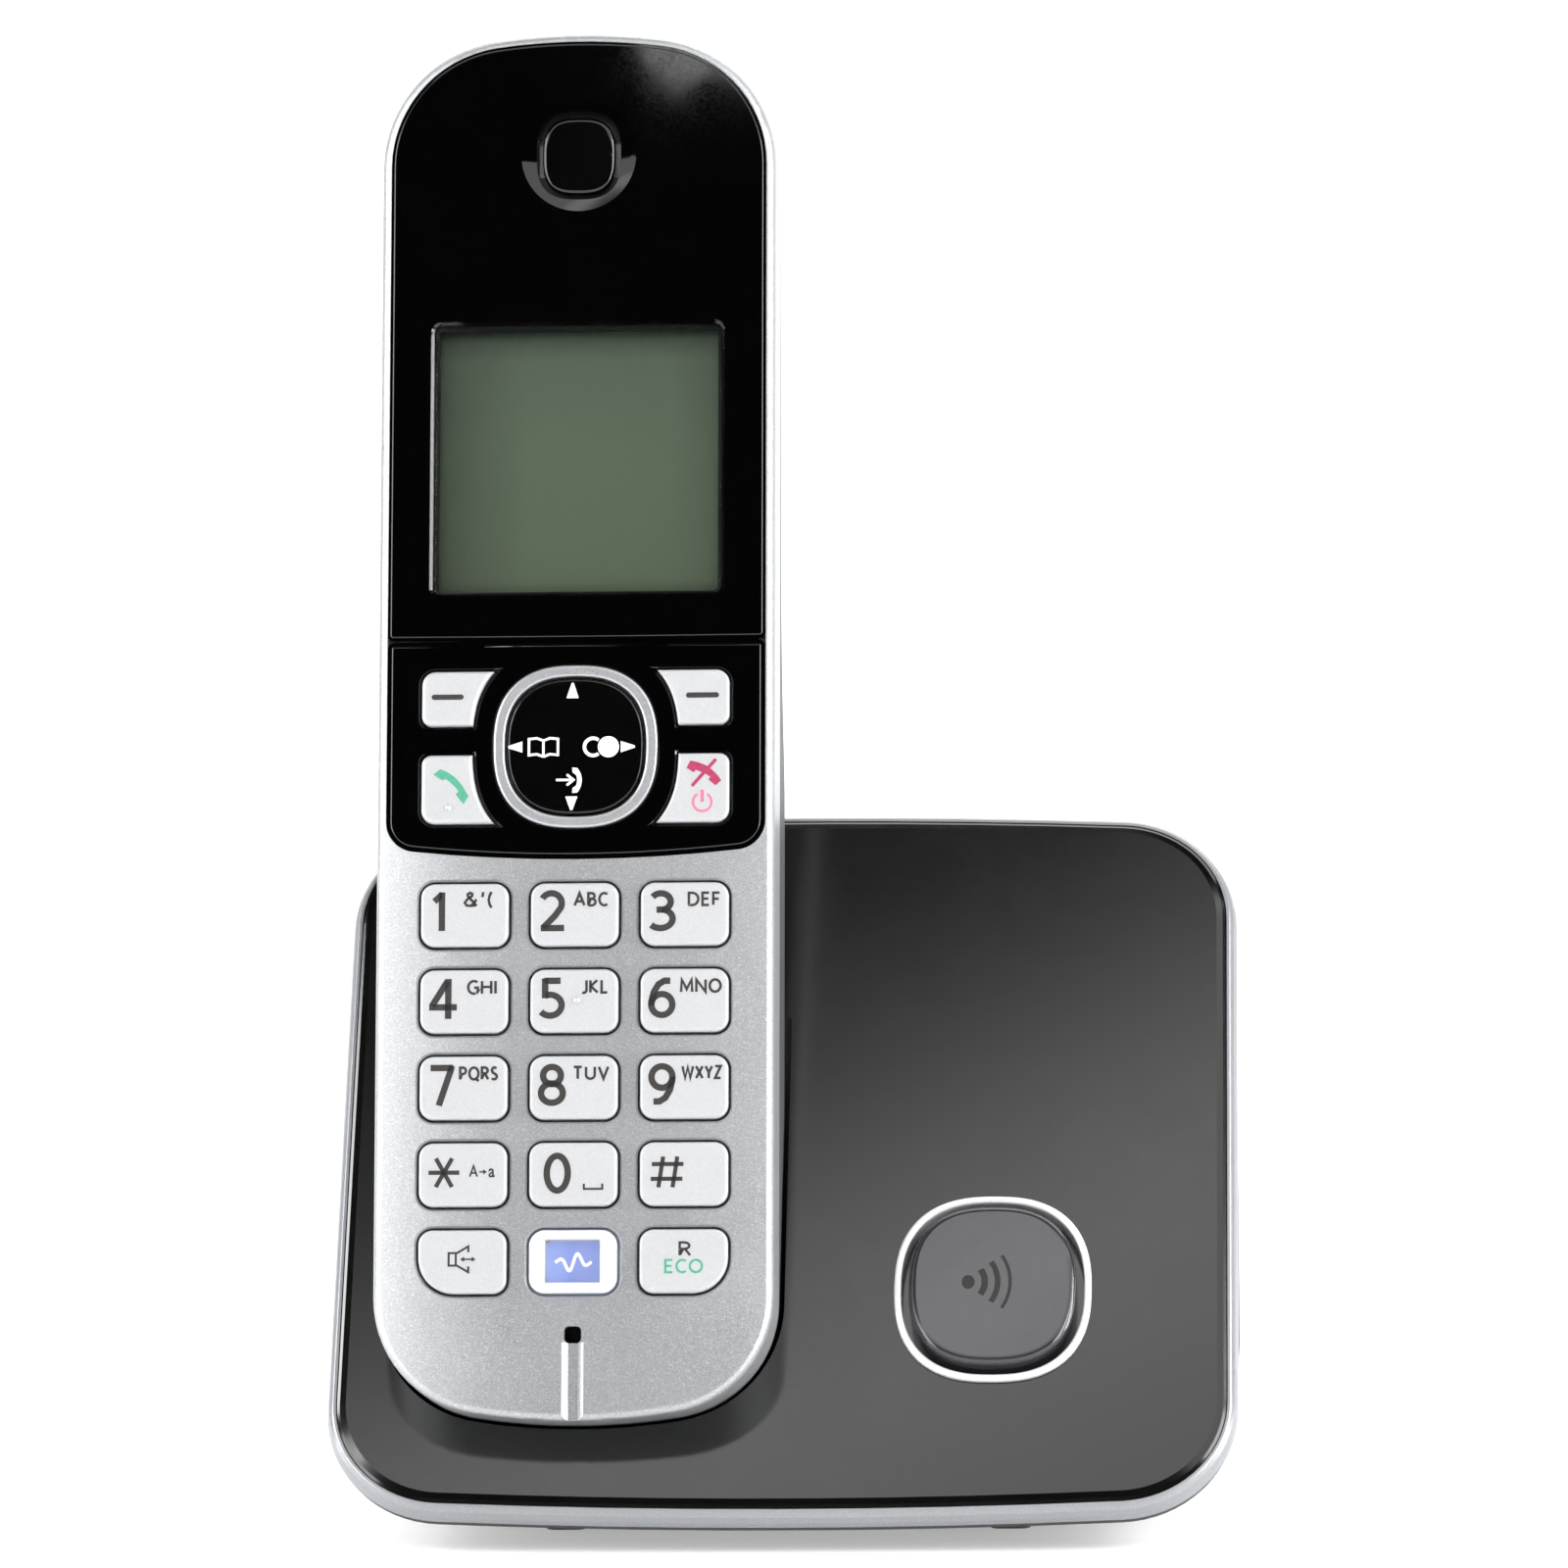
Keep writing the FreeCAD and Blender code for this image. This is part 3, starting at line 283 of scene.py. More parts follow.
# AAA sleeves: two-tone wrap with a metal look near the ends, in the handset's own direction
m = Mat("battery_sleeve")
v = m.mapping(HS)
sep = m.n("ShaderNodeSeparateXYZ")
m.link(v, sep.inputs[0])
c = m.ramp(m.rng(sep.outputs["Y"], 22.0, 67.0, 0.0, 1.0), [(0.0, lin(190, 190, 188)), (0.035, lin(20, 96, 62)), (0.62, lin(24, 110, 72)), (0.64, lin(236, 236, 230)), (0.965, lin(236, 236, 230)), (0.97, lin(190, 190, 188))], "CONSTANT")
g = m.noise(1500, 2)
m.set(color=c, rough=m.rng(g, 0.3, 0.7, 0.28, 0.4), normal=m.bump(g, 0.1, 0.02), metal=0.2)
mat["battery_sleeve"] = m

# LCD: grey-green glass with painted shadow of the frame darkening the top edge and painted shade darkening the left and
# right edges, with the segment pitch as a whisper of texture
m = Mat("lcd_glass")
v = m.mapping(HS)
sep = m.n("ShaderNodeSeparateXYZ")
m.link(v, sep.inputs[0])
top = m.rng(sep.outputs["Y"], 99.5, 134.0, 0.0, 1.0)
# the last ramp stops are painted shadow: the top edge darkens under the frame
c = m.ramp(top, [(0.0, lin(98, 109, 87)), (0.10, lin(104, 120, 96)), (0.55, lin(104, 120, 97)), (0.86, lin(98, 114, 94)), (0.94, lin(66, 80, 66)), (1.0, lin(34, 44, 36))])
# painted shade: the left edge darkens towards black
side = m.rng(sep.outputs["X"], -17.4, -6.5, 0.0, 1.0)
c = m.mix(m.rng(side, 0, 1, 0.5, 0.0), c, (0, 0, 0, 1))
# painted shade: the right edge darkens slightly
right = m.rng(sep.outputs["X"], 11.0, 17.4, 0.0, 0.18)
c = m.mix(right, c, lin(30, 36, 30))
ck = m.n("ShaderNodeTexChecker")
ck.inputs["Scale"].default_value = 2.6
m.link(v, ck.inputs["Vector"])
c = m.mix(m.rng(ck.outputs["Fac"], 0, 1, 0.0, 0.05), c, lin(70, 80, 66))
g = m.noise(700, 4, 0.6)
c = m.mix(m.rng(g, 0.35, 0.7, 0.0, 0.08), c, lin(120, 132, 110))
m.set(color=c, rough=m.rng(g, 0.3, 0.7, 0.32, 0.42), normal=m.bump(g, 0.05, 0.01))
mat["lcd_glass"] = m

# display lens: clear acrylic sheet, only its surface reflection shows
m = Mat("clear_lens")
g = m.noise(300, 3)
fr = m.n("ShaderNodeFresnel")
fr.inputs["IOR"].default_value = 1.49
m.set(color=m.mix(m.rng(g, 0.3, 0.7, 0.0, 1.0), (0.92, 0.94, 0.92, 1), (0.96, 0.97, 0.96, 1)), metal=1.0, rough=m.rng(g, 0.3, 0.7, 0.02, 0.05), alpha=m.rng(fr.outputs[0], 0.0, 1.0, 0.0, 0.8), normal=m.bump(g, 0.01, 0.02))
mat["clear_lens"] = m

# clear key: milky cap with a clear window over the insert
m = Mat("clear_key")
g = m.noise(500, 3)
v = m.mapping(HS)
sep = m.n("ShaderNodeSeparateXYZ")
m.link(v, sep.inputs[0])
dx = m.math("SUBTRACT", m.math("ABSOLUTE", sep.outputs["X"]), 3.25)
dy = m.math("SUBTRACT", m.math("ABSOLUTE", m.math("SUBTRACT", sep.outputs["Y"], 19.0)), 2.55)
win = m.rng(m.math("MAXIMUM", dx, dy), -0.05, 0.12, 0.0, 1.0)
m.set(color=m.mix(m.rng(g, 0.3, 0.7, 0.0, 1.0), lin(222, 226, 236), lin(236, 239, 246)), rough=m.rng(g, 0.3, 0.7, 0.05, 0.10), alpha=m.rng(win, 0.0, 1.0, 0.10, 0.72), coat=0.5, normal=m.bump(g, 0.02, 0.03))
mat["clear_key"] = m
m = Mat("blue_insert")
v = m.mapping(HS)
sep = m.n("ShaderNodeSeparateXYZ")
m.link(v, sep.inputs[0])
c = m.ramp(m.rng(sep.outputs["X"], -3.2, 3.2, 0.0, 1.0), [(0.0, lin(112, 140, 214)), (0.45, lin(62, 92, 178)), (1.0, lin(78, 106, 190))])
g = m.noise(1500, 2)
c = m.mix(m.rng(g, 0.3, 0.7, 0.0, 0.15), c, lin(60, 90, 180))
m.set(color=c, rough=m.rng(g, 0.3, 0.7, 0.3, 0.4), normal=m.bump(g, 0.04, 0.01))
mat["blue_insert"] = m

ink_dark = ink("ink_dark", lin(47, 45, 44))
ink_white = ink("ink_white", lin(240, 240, 240))
ink_green = ink("ink_green", lin(72, 146, 120))
ink_red = ink("ink_red", lin(150, 48, 80))
ink_rose = ink("ink_rose", lin(196, 104, 132))
# page-button icon tone: painted shade of the recessed icon
icon_recess_painted_shade = ink("icon_recess_painted_shade", lin(24, 24, 25), 0.3)

slot_of = {s["node"]: s["material_slot"] for s in frame["record"]["subparts"]}
for name, o in N.items():
    mm = mat[slot_of[name]].m
    o.data.materials.clear()
    o.data.materials.append(mm)
    for p in o.data.polygons:
        p.material_index = 0

# ------------------------------------------------------------------ printed marks: flat meshes a hair above the keys
def shape_mesh(name, polys, base, n_mm, material, body, thick=0.0):
    """polys: list of closed 2-D outlines (mm, local frame); an outline lying inside another is filled as a hole."""
    cu = bpy.data.curves.new(name + "_c", "CURVE")
    cu.dimensions = "2D"
    cu.fill_mode = "BOTH"
    for poly in polys:
        sp = cu.splines.new("POLY")
        sp.points.add(len(poly) - 1)
        for i, (x, y) in enumerate(poly):
            sp.points[i].co = (x * MM, y * MM, 0, 1)
        sp.use_cyclic_u = True
    cu.extrude = thick * MM
    ob = bpy.data.objects.new(name + "_tmp", cu)
    bpy.context.scene.collection.objects.link(ob)
    bpy.context.view_layer.update()
    dg = bpy.context.evaluated_depsgraph_get()
    me = bpy.data.meshes.new_from_object(ob.evaluated_get(dg))
    bpy.data.objects.remove(ob)
    me.transform(Matrix.Translation((0, 0, n_mm * MM)))
    me.transform(base)
    return me

def stroke(pts, w, closed=False, cap=True):
    """Outline polygons of a polyline of width w, as one quad per run."""
    out = []
    P = [Vector(p) for p in pts]
    if closed:
        P.append(P[0])
    for a, b in zip(P[:-1], P[1:]):
        d = (b - a)
        if d.length < 1e-6:
            continue
        d.normalize()
        q = Vector((-d.y, d.x)) * w / 2
        out.append([tuple(a + q), tuple(a - q), tuple(b - q), tuple(b + q)])
    return out

def ribbon(pts, w, closed=False):
    """One clean mitred outline for a polyline."""
    P = [Vector(p) for p in pts]
    n = len(P)
    L, R = [], []
    for i in range(n):
        if closed:
            a, b = P[i - 1], P[(i + 1) % n]
            d1, d2 = (P[i] - a).normalized(), (b - P[i]).normalized()
        else:
            d1 = (P[i] - P[i - 1]).normalized() if i > 0 else (P[1] - P[0]).normalized()
            d2 = (P[i + 1] - P[i]).normalized() if i < n - 1 else d1
        n1, n2 = Vector((-d1.y, d1.x)), Vector((-d2.y, d2.x))
        m_ = (n1 + n2)
        m_ = m_.normalized() if m_.length > 1e-6 else n1
        k = w / 2 / max(m_.dot(n1), 0.35)
        L.append(tuple(P[i] + m_ * k))
        R.append(tuple(P[i] - m_ * k))
    if closed:
        return [L, R[::-1]]
    return [L + R[::-1]]

def arcp(cx, cy, r, a0, a1, n=18, ry=None):
    ry = ry or r
    return [(cx + r * math.cos(math.radians(a0 + (a1 - a0) * i / n)), cy + ry * math.sin(math.radians(a0 + (a1 - a0) * i / n))) for i in range(n + 1)]

def circle(cx, cy, r, n=28, ry=None):
    return arcp(cx, cy, r, 0, 360 - 360 / n, n - 1, ry)

def join(name, meshes, material, body):
    bm = bmesh.new()
    for me in meshes:
        bm.from_mesh(me)
        bpy.data.meshes.remove(me)
    me = bpy.data.meshes.new(name)
    bm.to_mesh(me)
    bm.free()
    ob = bpy.data.objects.new(name, me)
    bpy.context.scene.collection.objects.link(ob)
    me.materials.append(material.m)
    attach(ob, body)
    return ob

def text_mesh(txt, x0, y0, x1, y1, base, n_mm, bold=0.0):
    """Text scaled to fill the box x0..x1, y0..y1 (mm)."""
    cu = bpy.data.curves.new("t", "FONT")
    cu.body = txt
    cu.size = 1.0
    cu.resolution_u = 6
    cu.offset = bold
    ob = bpy.data.objects.new("t", cu)
    bpy.context.scene.collection.objects.link(ob)
    bpy.context.view_layer.update()
    dg = bpy.context.evaluated_depsgraph_get()
    me = bpy.data.meshes.new_from_object(ob.evaluated_get(dg))
    bpy.data.objects.remove(ob)
    xs = [v.co.x for v in me.vertices]
    ys = [v.co.y for v in me.vertices]
    ax, bx, ay, by = min(xs), max(xs), min(ys), max(ys)
    sx = (x1 - x0) / (bx - ax)
    sy = (y1 - y0) / (by - ay)
    me.transform(Matrix.Translation((-ax, -ay, 0)))
    me.transform(Matrix.Diagonal((sx * MM, sy * MM, 1, 1)))
    me.transform(Matrix.Translation((x0 * MM, y0 * MM, n_mm * MM)))
    me.transform(base)
    return me

KX = {0: -13.25, 1: 0.0, 2: 13.25}
KY = [60.8 - 10.45 * i for i in range(5)]
TOP = 0.515
def put_text(name, items, key, material=ink_dark, n_mm=TOP):
    meshes = [text_mesh(t, *b, HS, n_mm, bold) for t, b, bold in items]
    return meshes

def ell(cx, cy, rx, ry, a0, a1, n=20):
    return [(cx + rx * math.cos(math.radians(a0 + (a1 - a0) * i / n)), cy + ry * math.sin(math.radians(a0 + (a1 - a0) * i / n))) for i in range(n + 1)]

GLYPH = {   # centre lines in a unit box: (points, closed)
    "0": [(ell(0.5, 0.5, 0.5, 0.5, 0, 348, 29), True)],
    "1": [([(0.0, 0.80), (0.62, 0.985), (0.70, 0.985)], False), ([(0.70, 1.075), (0.70, -0.075)], False)],
    "2": [(ell(0.44, 0.71, 0.50, 0.29, 152, -28) + [(0.62, 0.36), (0.02, 0.0)], False), ([(-0.08, 0.0), (1.06, 0.0)], False)],
    "3": [(ell(0.38, 0.76, 0.50, 0.24, 146, -84), False), (ell(0.36, 0.27, 0.62, 0.27, 84, -140), False), ([(0.16, 0.53), (0.46, 0.53)], False)],
    "4": [([(0.70, 1.0), (0.06, 0.30)], False), ([(-0.06, 0.26), (1.10, 0.26)], False), ([(0.74, 1.075), (0.74, -0.075)], False)],
    "5": [([(0.94, 1.0), (0.10, 1.0)], False), ([(0.14, 1.07), (0.14, 0.50)], False), (ell(0.40, 0.30, 0.60, 0.30, 116, -142), False)],
    "6": [(ell(0.5, 0.30, 0.5, 0.30, 0, 348, 29), True), ([(0.90, 0.98), (0.62, 0.98), (0.34, 0.88), (0.12, 0.66), (0.01, 0.40), (0.0, 0.28)], False)],
    "7": [([(-0.06, 1.0), (1.06, 1.0)], False), ([(0.99, 1.06), (0.94, 0.92), (0.36, -0.075)], False)],
    "8": [(ell(0.5, 0.76, 0.41, 0.24, 0, 348, 29), True), (ell(0.5, 0.27, 0.5, 0.27, 0, 348, 29), True)],
    "9": [(ell(0.5, 0.70, 0.5, 0.30, 0, 348, 29), True), ([(0.10, 0.02), (0.38, 0.02), (0.66, 0.12), (0.88, 0.34), (0.99, 0.60), (1.0, 0.72)], False)],
}
LETTER = {   # width in units of the height, centre lines in a unit box
    "A": (0.74, [([(0, 0), (0.5, 1), (1, 0)], False), ([(0.19, 0.34), (0.81, 0.34)], False)]),
    "B": (0.54, [([(0, 0), (0, 1), (0.45, 1)] + ell(0.45, 0.77, 0.42, 0.23, 88, -90, 10) + [(0.02, 0.54)], False), (ell(0.5, 0.27, 0.5, 0.27, 90, -90, 10) + [(0, 0)], False)]),
    "C": (0.60, [(ell(0.62, 0.5, 0.62, 0.5, 52, 308, 22), False)]),
    "D": (0.66, [([(0, 0), (0, 1), (0.35, 1)] + ell(0.35, 0.5, 0.65, 0.5, 88, -88, 16) + [(0.35, 0), (0, 0)], False)]),
    "E": (0.46, [([(1, 1), (0, 1), (0, 0), (1, 0)], False), ([(0, 0.52), (0.9, 0.52)], False)]),
    "F": (0.44, [([(1, 1), (0, 1), (0, 0)], False), ([(0, 0.50), (0.88, 0.50)], False)]),
    "G": (0.66, [(ell(0.6, 0.5, 0.6, 0.5, 52, 318, 22) + [(1.0, 0.14), (1.0, 0.48), (0.62, 0.48)], False)]),
    "H": (0.64, [([(0, 0), (0, 1)], False), ([(1, 0), (1, 1)], False), ([(0, 0.53), (1, 0.53)], False)]),
    "I": (0.0, [([(0, 0), (0, 1)], False)]),
    "J": (0.34, [([(1, 1), (1, 0.22)] + ell(0.35, 0.22, 0.65, 0.24, -10, -120, 8), False)]),
    "K": (0.56, [([(0, 0), (0, 1)], False), ([(0.92, 1), (0.03, 0.52), (1, 0)], False)]),
    "L": (0.44, [([(0, 1), (0, 0), (1, 0)], False)]),
    "M": (0.80, [([(0, 0), (0.06, 1), (0.5, 0.22), (0.94, 1), (1, 0)], False)]),
    "N": (0.66, [([(0, 0), (0, 1), (1, 0), (1, 1)], False)]),
    "O": (0.78, [(ell(0.5, 0.5, 0.5, 0.5, 0, 350, 29), True)]),
    "P": (0.50, [([(0, 0), (0, 1), (0.45, 1)] + ell(0.45, 0.73, 0.55, 0.27, 88, -90, 10) + [(0, 0.46)], False)]),
    "Q": (0.78, [(ell(0.5, 0.5, 0.5, 0.5, 0, 350, 29), True), ([(0.6, 0.12), (1.05, -0.14)], False)]),
    "R": (0.54, [([(0, 0), (0, 1), (0.42, 1)] + ell(0.42, 0.75, 0.5, 0.25, 88, -90, 10) + [(0, 0.50)], False), ([(0.5, 0.50), (1, 0)], False)]),
    "S": (0.46, [([(0.92, 0.93), (0.60, 1.0), (0.25, 0.97), (0.04, 0.78), (0.18, 0.58), (0.55, 0.48), (0.90, 0.36), (0.97, 0.18), (0.72, 0.02), (0.38, 0.0), (0.0, 0.07)], False)]),
    "T": (0.58, [([(0, 1), (1, 1)], False), ([(0.5, 1), (0.5, 0)], False)]),
    "U": (0.62, [([(0, 1), (0, 0.35)] + ell(0.5, 0.33, 0.5, 0.33, 188, 352, 12) + [(1, 0.35), (1, 1)], False)]),
    "V": (0.66, [([(0, 1), (0.5, 0), (1, 1)], False)]),
    "W": (1.02, [([(0, 1), (0.26, 0), (0.5, 0.95), (0.74, 0), (1, 1)], False)]),
    "X": (0.62, [([(0, 0), (1, 1)], False), ([(0, 1), (1, 0)], False)]),
    "Y": (0.62, [([(0, 1), (0.5, 0.46), (1, 1)], False), ([(0.5, 0.46), (0.5, 0)], False)]),
    "Z": (0.54, [([(0, 1), (1, 1), (0, 0), (1, 0)], False)]),
    "&": (0.66, [([(1.0, 0.0), (0.28, 0.72), (0.24, 0.88), (0.42, 1.0), (0.62, 0.92), (0.62, 0.76), (0.20, 0.48), (0.0, 0.24), (0.16, 0.03), (0.46, 0.0), (0.78, 0.16), (0.96, 0.50)], False)]),
    "'": (0.06, [([(1.0, 1.05), (0.2, 0.66)], False)]),
    "(": (0.16, [([(1.0, 1.06), (0.35, 0.80), (0.0, 0.45), (0.35, 0.10), (1.0, -0.16)], False)]),
}
def letters_mesh(txt, x0, y0, x1, y1, w, n_mm, gap=0.30):
    """Stroke letters filling the box from (x0, y0) to (x1, y1)."""
    total = sum(LETTER[c][0] for c in txt) + gap * (len(txt) - 1) if len(txt) > 1 else LETTER[txt][0]
    k = (x1 - x0 - w) / total
    kh = y1 - y0 - w
    x, out = x0 + w / 2, []
    for c in txt:
        wd, strokes = LETTER[c]
        for pts, closed in strokes:
            pp = [(x + px * wd * k, y0 + w / 2 + py * kh) for px, py in pts]
            out.append(shape_mesh("l", ribbon(pp, w, closed), HS, n_mm, None, None))
        x += (wd + gap) * k
    return out

def digit(d, x0, y0, x1, y1, w=0.78):
    h = w / 2
    out = []
    for pts, closed in GLYPH[d]:
        pp = [(x0 + h + px * (x1 - x0 - w), y0 + h + py * (y1 - y0 - w)) for px, py in pts]
        out.append(shape_mesh("g", ribbon(pp, w, closed), HS, TOP, None, None))
    return out

# digits: (x0, y0, x1, y1) relative to the key's centre
digit_box = {"1": (-4.05, -2.0, -1.95, 2.85), "2": (-4.25, -2.05, -1.0, 2.95), "3": (-4.15, -2.15, -1.0, 2.85), "4": (-4.4, -2.2, -0.75, 2.8),
             "5": (-4.2, -2.2, -1.1, 2.8), "6": (-4.35, -2.2, -1.05, 2.8), "7": (-4.2, -2.2, -1.0, 2.8), "8": (-4.3, -2.25, -0.9, 2.85), "9": (-4.3, -2.25, -1.0, 2.85), "0": (-3.55, -2.35, -0.25, 2.6)}
letters = {"1": "&'(", "2": "ABC", "3": "DEF", "4": "GHI", "5": "JKL", "6": "MNO", "7": "PQRS", "8": "TUV", "9": "WXYZ"}
letter_box = {"1": (-0.15, 0.95, 3.4, 2.85), "2": (-0.15, 0.9, 4.1, 2.7), "3": (0.35, 0.85, 4.35, 2.65), "4": (0.35, 0.75, 3.95, 2.6), "5": (0.8, 0.8, 4.15, 2.6),
              "6": (-0.55, 0.8, 4.5, 2.6), "7": (-0.55, 0.85, 4.2, 2.6), "8": (-0.15, 0.85, 4.3, 2.6), "9": (-0.35, 0.85, 4.55, 2.6)}
for i in range(9):
    d = str(i + 1)
    cx, cy = KX[i % 3], KY[i // 3]
    b, l = digit_box[d], letter_box[d]
    ms = digit(d, cx + b[0], cy + b[1], cx + b[2], cy + b[3])
    ms += letters_mesh(letters[d], cx + l[0], cy + l[1], cx + l[2], cy + l[3], 0.32, TOP)
    join("mark_key_" + d, ms, ink_dark, "key_" + d)
cx, cy = KX[1], KY[3]
b = digit_box["0"]
ms = digit("0", cx + b[0], cy + b[1], cx + b[2], cy + b[3])
ms.append(shape_mesh("sp", ribbon([(cx + 1.3, cy - 1.15), (cx + 1.3, cy - 1.78), (cx + 3.5, cy - 1.78), (cx + 3.5, cy - 1.15)], 0.26), HS, TOP, None, None))
join("mark_key_0", ms, ink_dark, "key_0")
# star
cx, cy = KX[0], KY[3]
sx, sy = cx - 2.25, cy + 0.25
rays = []
for a in (0, 60, 120):
    c, s = math.cos(math.radians(a)), math.sin(math.radians(a))
    L_ = 1.85 if a == 0 else 1.95
    rays.append(shape_mesh("r", ribbon([(sx - c * L_, sy - s * L_ * 1.02), (sx + c * L_, sy + s * L_ * 1.02)], 0.52), HS, TOP, None, None))
rays += letters_mesh("A", cx + 0.75, cy - 0.35, cx + 1.85, cy + 1.15, 0.22, TOP)
rays.append(text_mesh("a", cx + 3.1, cy - 0.35, cx + 3.85, cy + 0.75, HS, TOP, 0.02))
rays.append(shape_mesh("r", [[(cx + 2.0, cy + 0.42), (cx + 2.0, cy + 0.24), (cx + 2.45, cy + 0.24), (cx + 2.45, cy + 0.0), (cx + 2.92, cy + 0.33), (cx + 2.45, cy + 0.66), (cx + 2.45, cy + 0.42)]], HS, TOP, None, None))
join("mark_key_star", rays, ink_dark, "key_star")
# hash
cx, cy = KX[2], KY[3]
hx, hy = cx - 2.0, cy + 0.2
hh = []
for dx in (-0.75, 0.95):
    hh.append(shape_mesh("h", ribbon([(hx + dx - 0.28, hy - 1.85), (hx + dx + 0.28, hy + 1.85)], 0.5), HS, TOP, None, None))
for dy in (-0.82, 0.95):
    hh.append(shape_mesh("h", ribbon([(hx - 1.95 + 0.12 * (dy > 0), hy + dy), (hx + 1.85 + 0.12 * (dy > 0), hy + dy)], 0.5), HS, TOP, None, None))
join("mark_key_hash", hh, ink_dark, "key_hash")
# speaker key
cx, cy = KX[0], KY[4]
sx, sy = cx - 1.6, cy + 0.3
sp = [shape_mesh("s", ribbon([(sx, sy - 0.75), (sx + 0.85, sy - 0.75), (sx + 0.85, sy + 0.75), (sx, sy + 0.75)], 0.26, True), HS, TOP, None, None),
      shape_mesh("s", ribbon([(sx + 0.95, sy + 0.72), (sx + 2.35, sy + 1.55), (sx + 2.35, sy + 0.85)], 0.26), HS, TOP, None, None),
      shape_mesh("s", ribbon([(sx + 0.95, sy - 0.72), (sx + 2.35, sy - 1.55), (sx + 2.35, sy - 0.85)], 0.26), HS, TOP, None, None),
      shape_mesh("s", [[(sx + 1.35, sy), (sx + 1.85, sy + 0.32), (sx + 1.85, sy + 0.1), (sx + 2.75, sy + 0.1), (sx + 2.75, sy + 0.32), (sx + 3.25, sy),
                        (sx + 2.75, sy - 0.32), (sx + 2.75, sy - 0.1), (sx + 1.85, sy - 0.1), (sx + 1.85, sy - 0.32)]], HS, TOP, None, None)]
join("mark_key_speaker", sp, ink_dark, "key_speaker")
# recall key
cx, cy = KX[2], KY[4]
join("mark_key_recall", letters_mesh("R", cx - 0.6, cy + 0.5, cx + 0.95, cy + 2.35, 0.30, TOP), ink_dark, "key_recall")
join("mark_key_recall_eco", letters_mesh("ECO", cx - 2.3, cy - 1.5, cx + 2.35, cy + 0.25, 0.28, TOP, 0.26), ink_green, "key_recall")
# wave on the clear key's insert
cx, cy = KX[1], KY[4]
wave = [(cx - 2.2 + 0.1 * i, cy + 1.15 * math.sin((i / 44.0) * 2 * math.pi * 2) * math.exp(-((i - 22) / 15.0) ** 2)) for i in range(45)]
join("mark_key_noise", [shape_mesh("w", ribbon(wave, 0.36), HS, -0.585, None, None)], ink_white, "key_noise")

# soft keys
KT = 0.965
def rounded_bar(x0, y0, x1, y1):
    r = (y1 - y0) / 2
    return [arcp(x0 + r, (y0 + y1) / 2, r, 90, 270, 8) + arcp(x1 - r, (y0 + y1) / 2, r, -90, 90, 8)]
join("mark_soft_left", [shape_mesh("d", rounded_bar(-17.4, 86.95, -13.5, 87.6), HS, KT, None, None)], ink_dark, "soft_key_left")
join("mark_soft_right", [shape_mesh("d", rounded_bar(13.35, 86.95, 17.35, 87.6), HS, KT, None, None)], ink_dark, "soft_key_right")

talk = [(-17.1, 77.83), (-16.3, 78.5), (-15.9, 78.35), (-15.1, 77.95), (-14.33, 77.33), (-13.6, 76.45), (-12.85, 75.18), (-13.44, 74.2), (-13.9, 74.75), (-14.44, 75.49), (-14.04, 75.69),
        (-14.35, 76.2), (-14.72, 76.54), (-15.15, 76.95), (-15.6, 77.25), (-16.03, 77.13)]
join("mark_talk", [shape_mesh("p", [talk], HS, KT, None, None)], ink_green, "talk_key")
off = [(13.45, 78.4), (13.9, 79.3), (14.8, 79.1), (15.7, 78.75), (16.5, 78.2), (17.2, 77.5), (17.65, 76.85), (16.95, 76.25), (16.1, 76.95), (16.3, 77.3), (15.75, 77.65), (15.1, 77.95), (14.55, 78.15), (14.35, 77.85)]
join("mark_off", [shape_mesh("p", [off], HS, KT, None, None), shape_mesh("p", ribbon([(14.1, 76.2), (17.0, 79.45)], 0.42), HS, KT + 0.004, None, None)], ink_red, "off_key")
join("mark_power", [shape_mesh("p", ribbon(arcp(15.35, 74.25, 1.12, 122, 418, 22), 0.30), HS, KT, None, None),
                    shape_mesh("p", ribbon([(15.35, 74.25), (15.35, 75.75)], 0.42), HS, KT, None, None)], ink_rose, "off_key")

# navigator marks
NT = 0.715
def tri(cx, cy, w, h, ang):
    pts = [(-w / 2, -h / 2), (w / 2, -h / 2), (0.12, h / 2), (-0.12, h / 2)]
    c, s = math.cos(math.radians(ang)), math.sin(math.radians(ang))
    return [[(x * c - y * s + cx, x * s + y * c + cy) for x, y in pts]]
nav = [tri(-0.35, 88.0, 1.45, 1.85, 0), tri(-0.45, 74.25, 1.45, 1.65, 180), tri(-7.25, 81.15, 1.35, 1.7, 90), tri(6.35, 81.1, 1.35, 1.7, -90)]
ms = [shape_mesh("n", t, HS, NT, None, None) for t in nav]
bx, by = -3.85, 81.15
ms.append(shape_mesh("n", ribbon([(bx, by + 0.75), (bx - 0.8, by + 1.05), (bx - 1.75, by + 0.95), (bx - 1.75, by - 1.0), (bx - 0.8, by - 0.9), (bx, by - 1.2)], 0.28), HS, NT, None, None))
ms.append(shape_mesh("n", ribbon([(bx, by + 0.75), (bx + 0.8, by + 1.05), (bx + 1.75, by + 0.95), (bx + 1.75, by - 1.0), (bx + 0.8, by - 0.9), (bx, by - 1.2)], 0.28), HS, NT, None, None))
ms.append(shape_mesh("n", ribbon([(bx, by + 0.75), (bx, by - 1.2)], 0.28), HS, NT, None, None))
ms.append(shape_mesh("n", ribbon(arcp(2.15, 81.1, 1.05, 52, 308, 20), 0.40), HS, NT, None, None))
ms.append(shape_mesh("n", [circle(4.0, 81.1, 1.28)], HS, NT, None, None))
ms.append(shape_mesh("n", ribbon([(-2.3, 77.1), (-0.25, 77.1)], 0.28), HS, NT, None, None))
ms.append(shape_mesh("n", ribbon([(-1.0, 77.75), (-0.2, 77.1), (-1.0, 76.45)], 0.28), HS, NT, None, None))
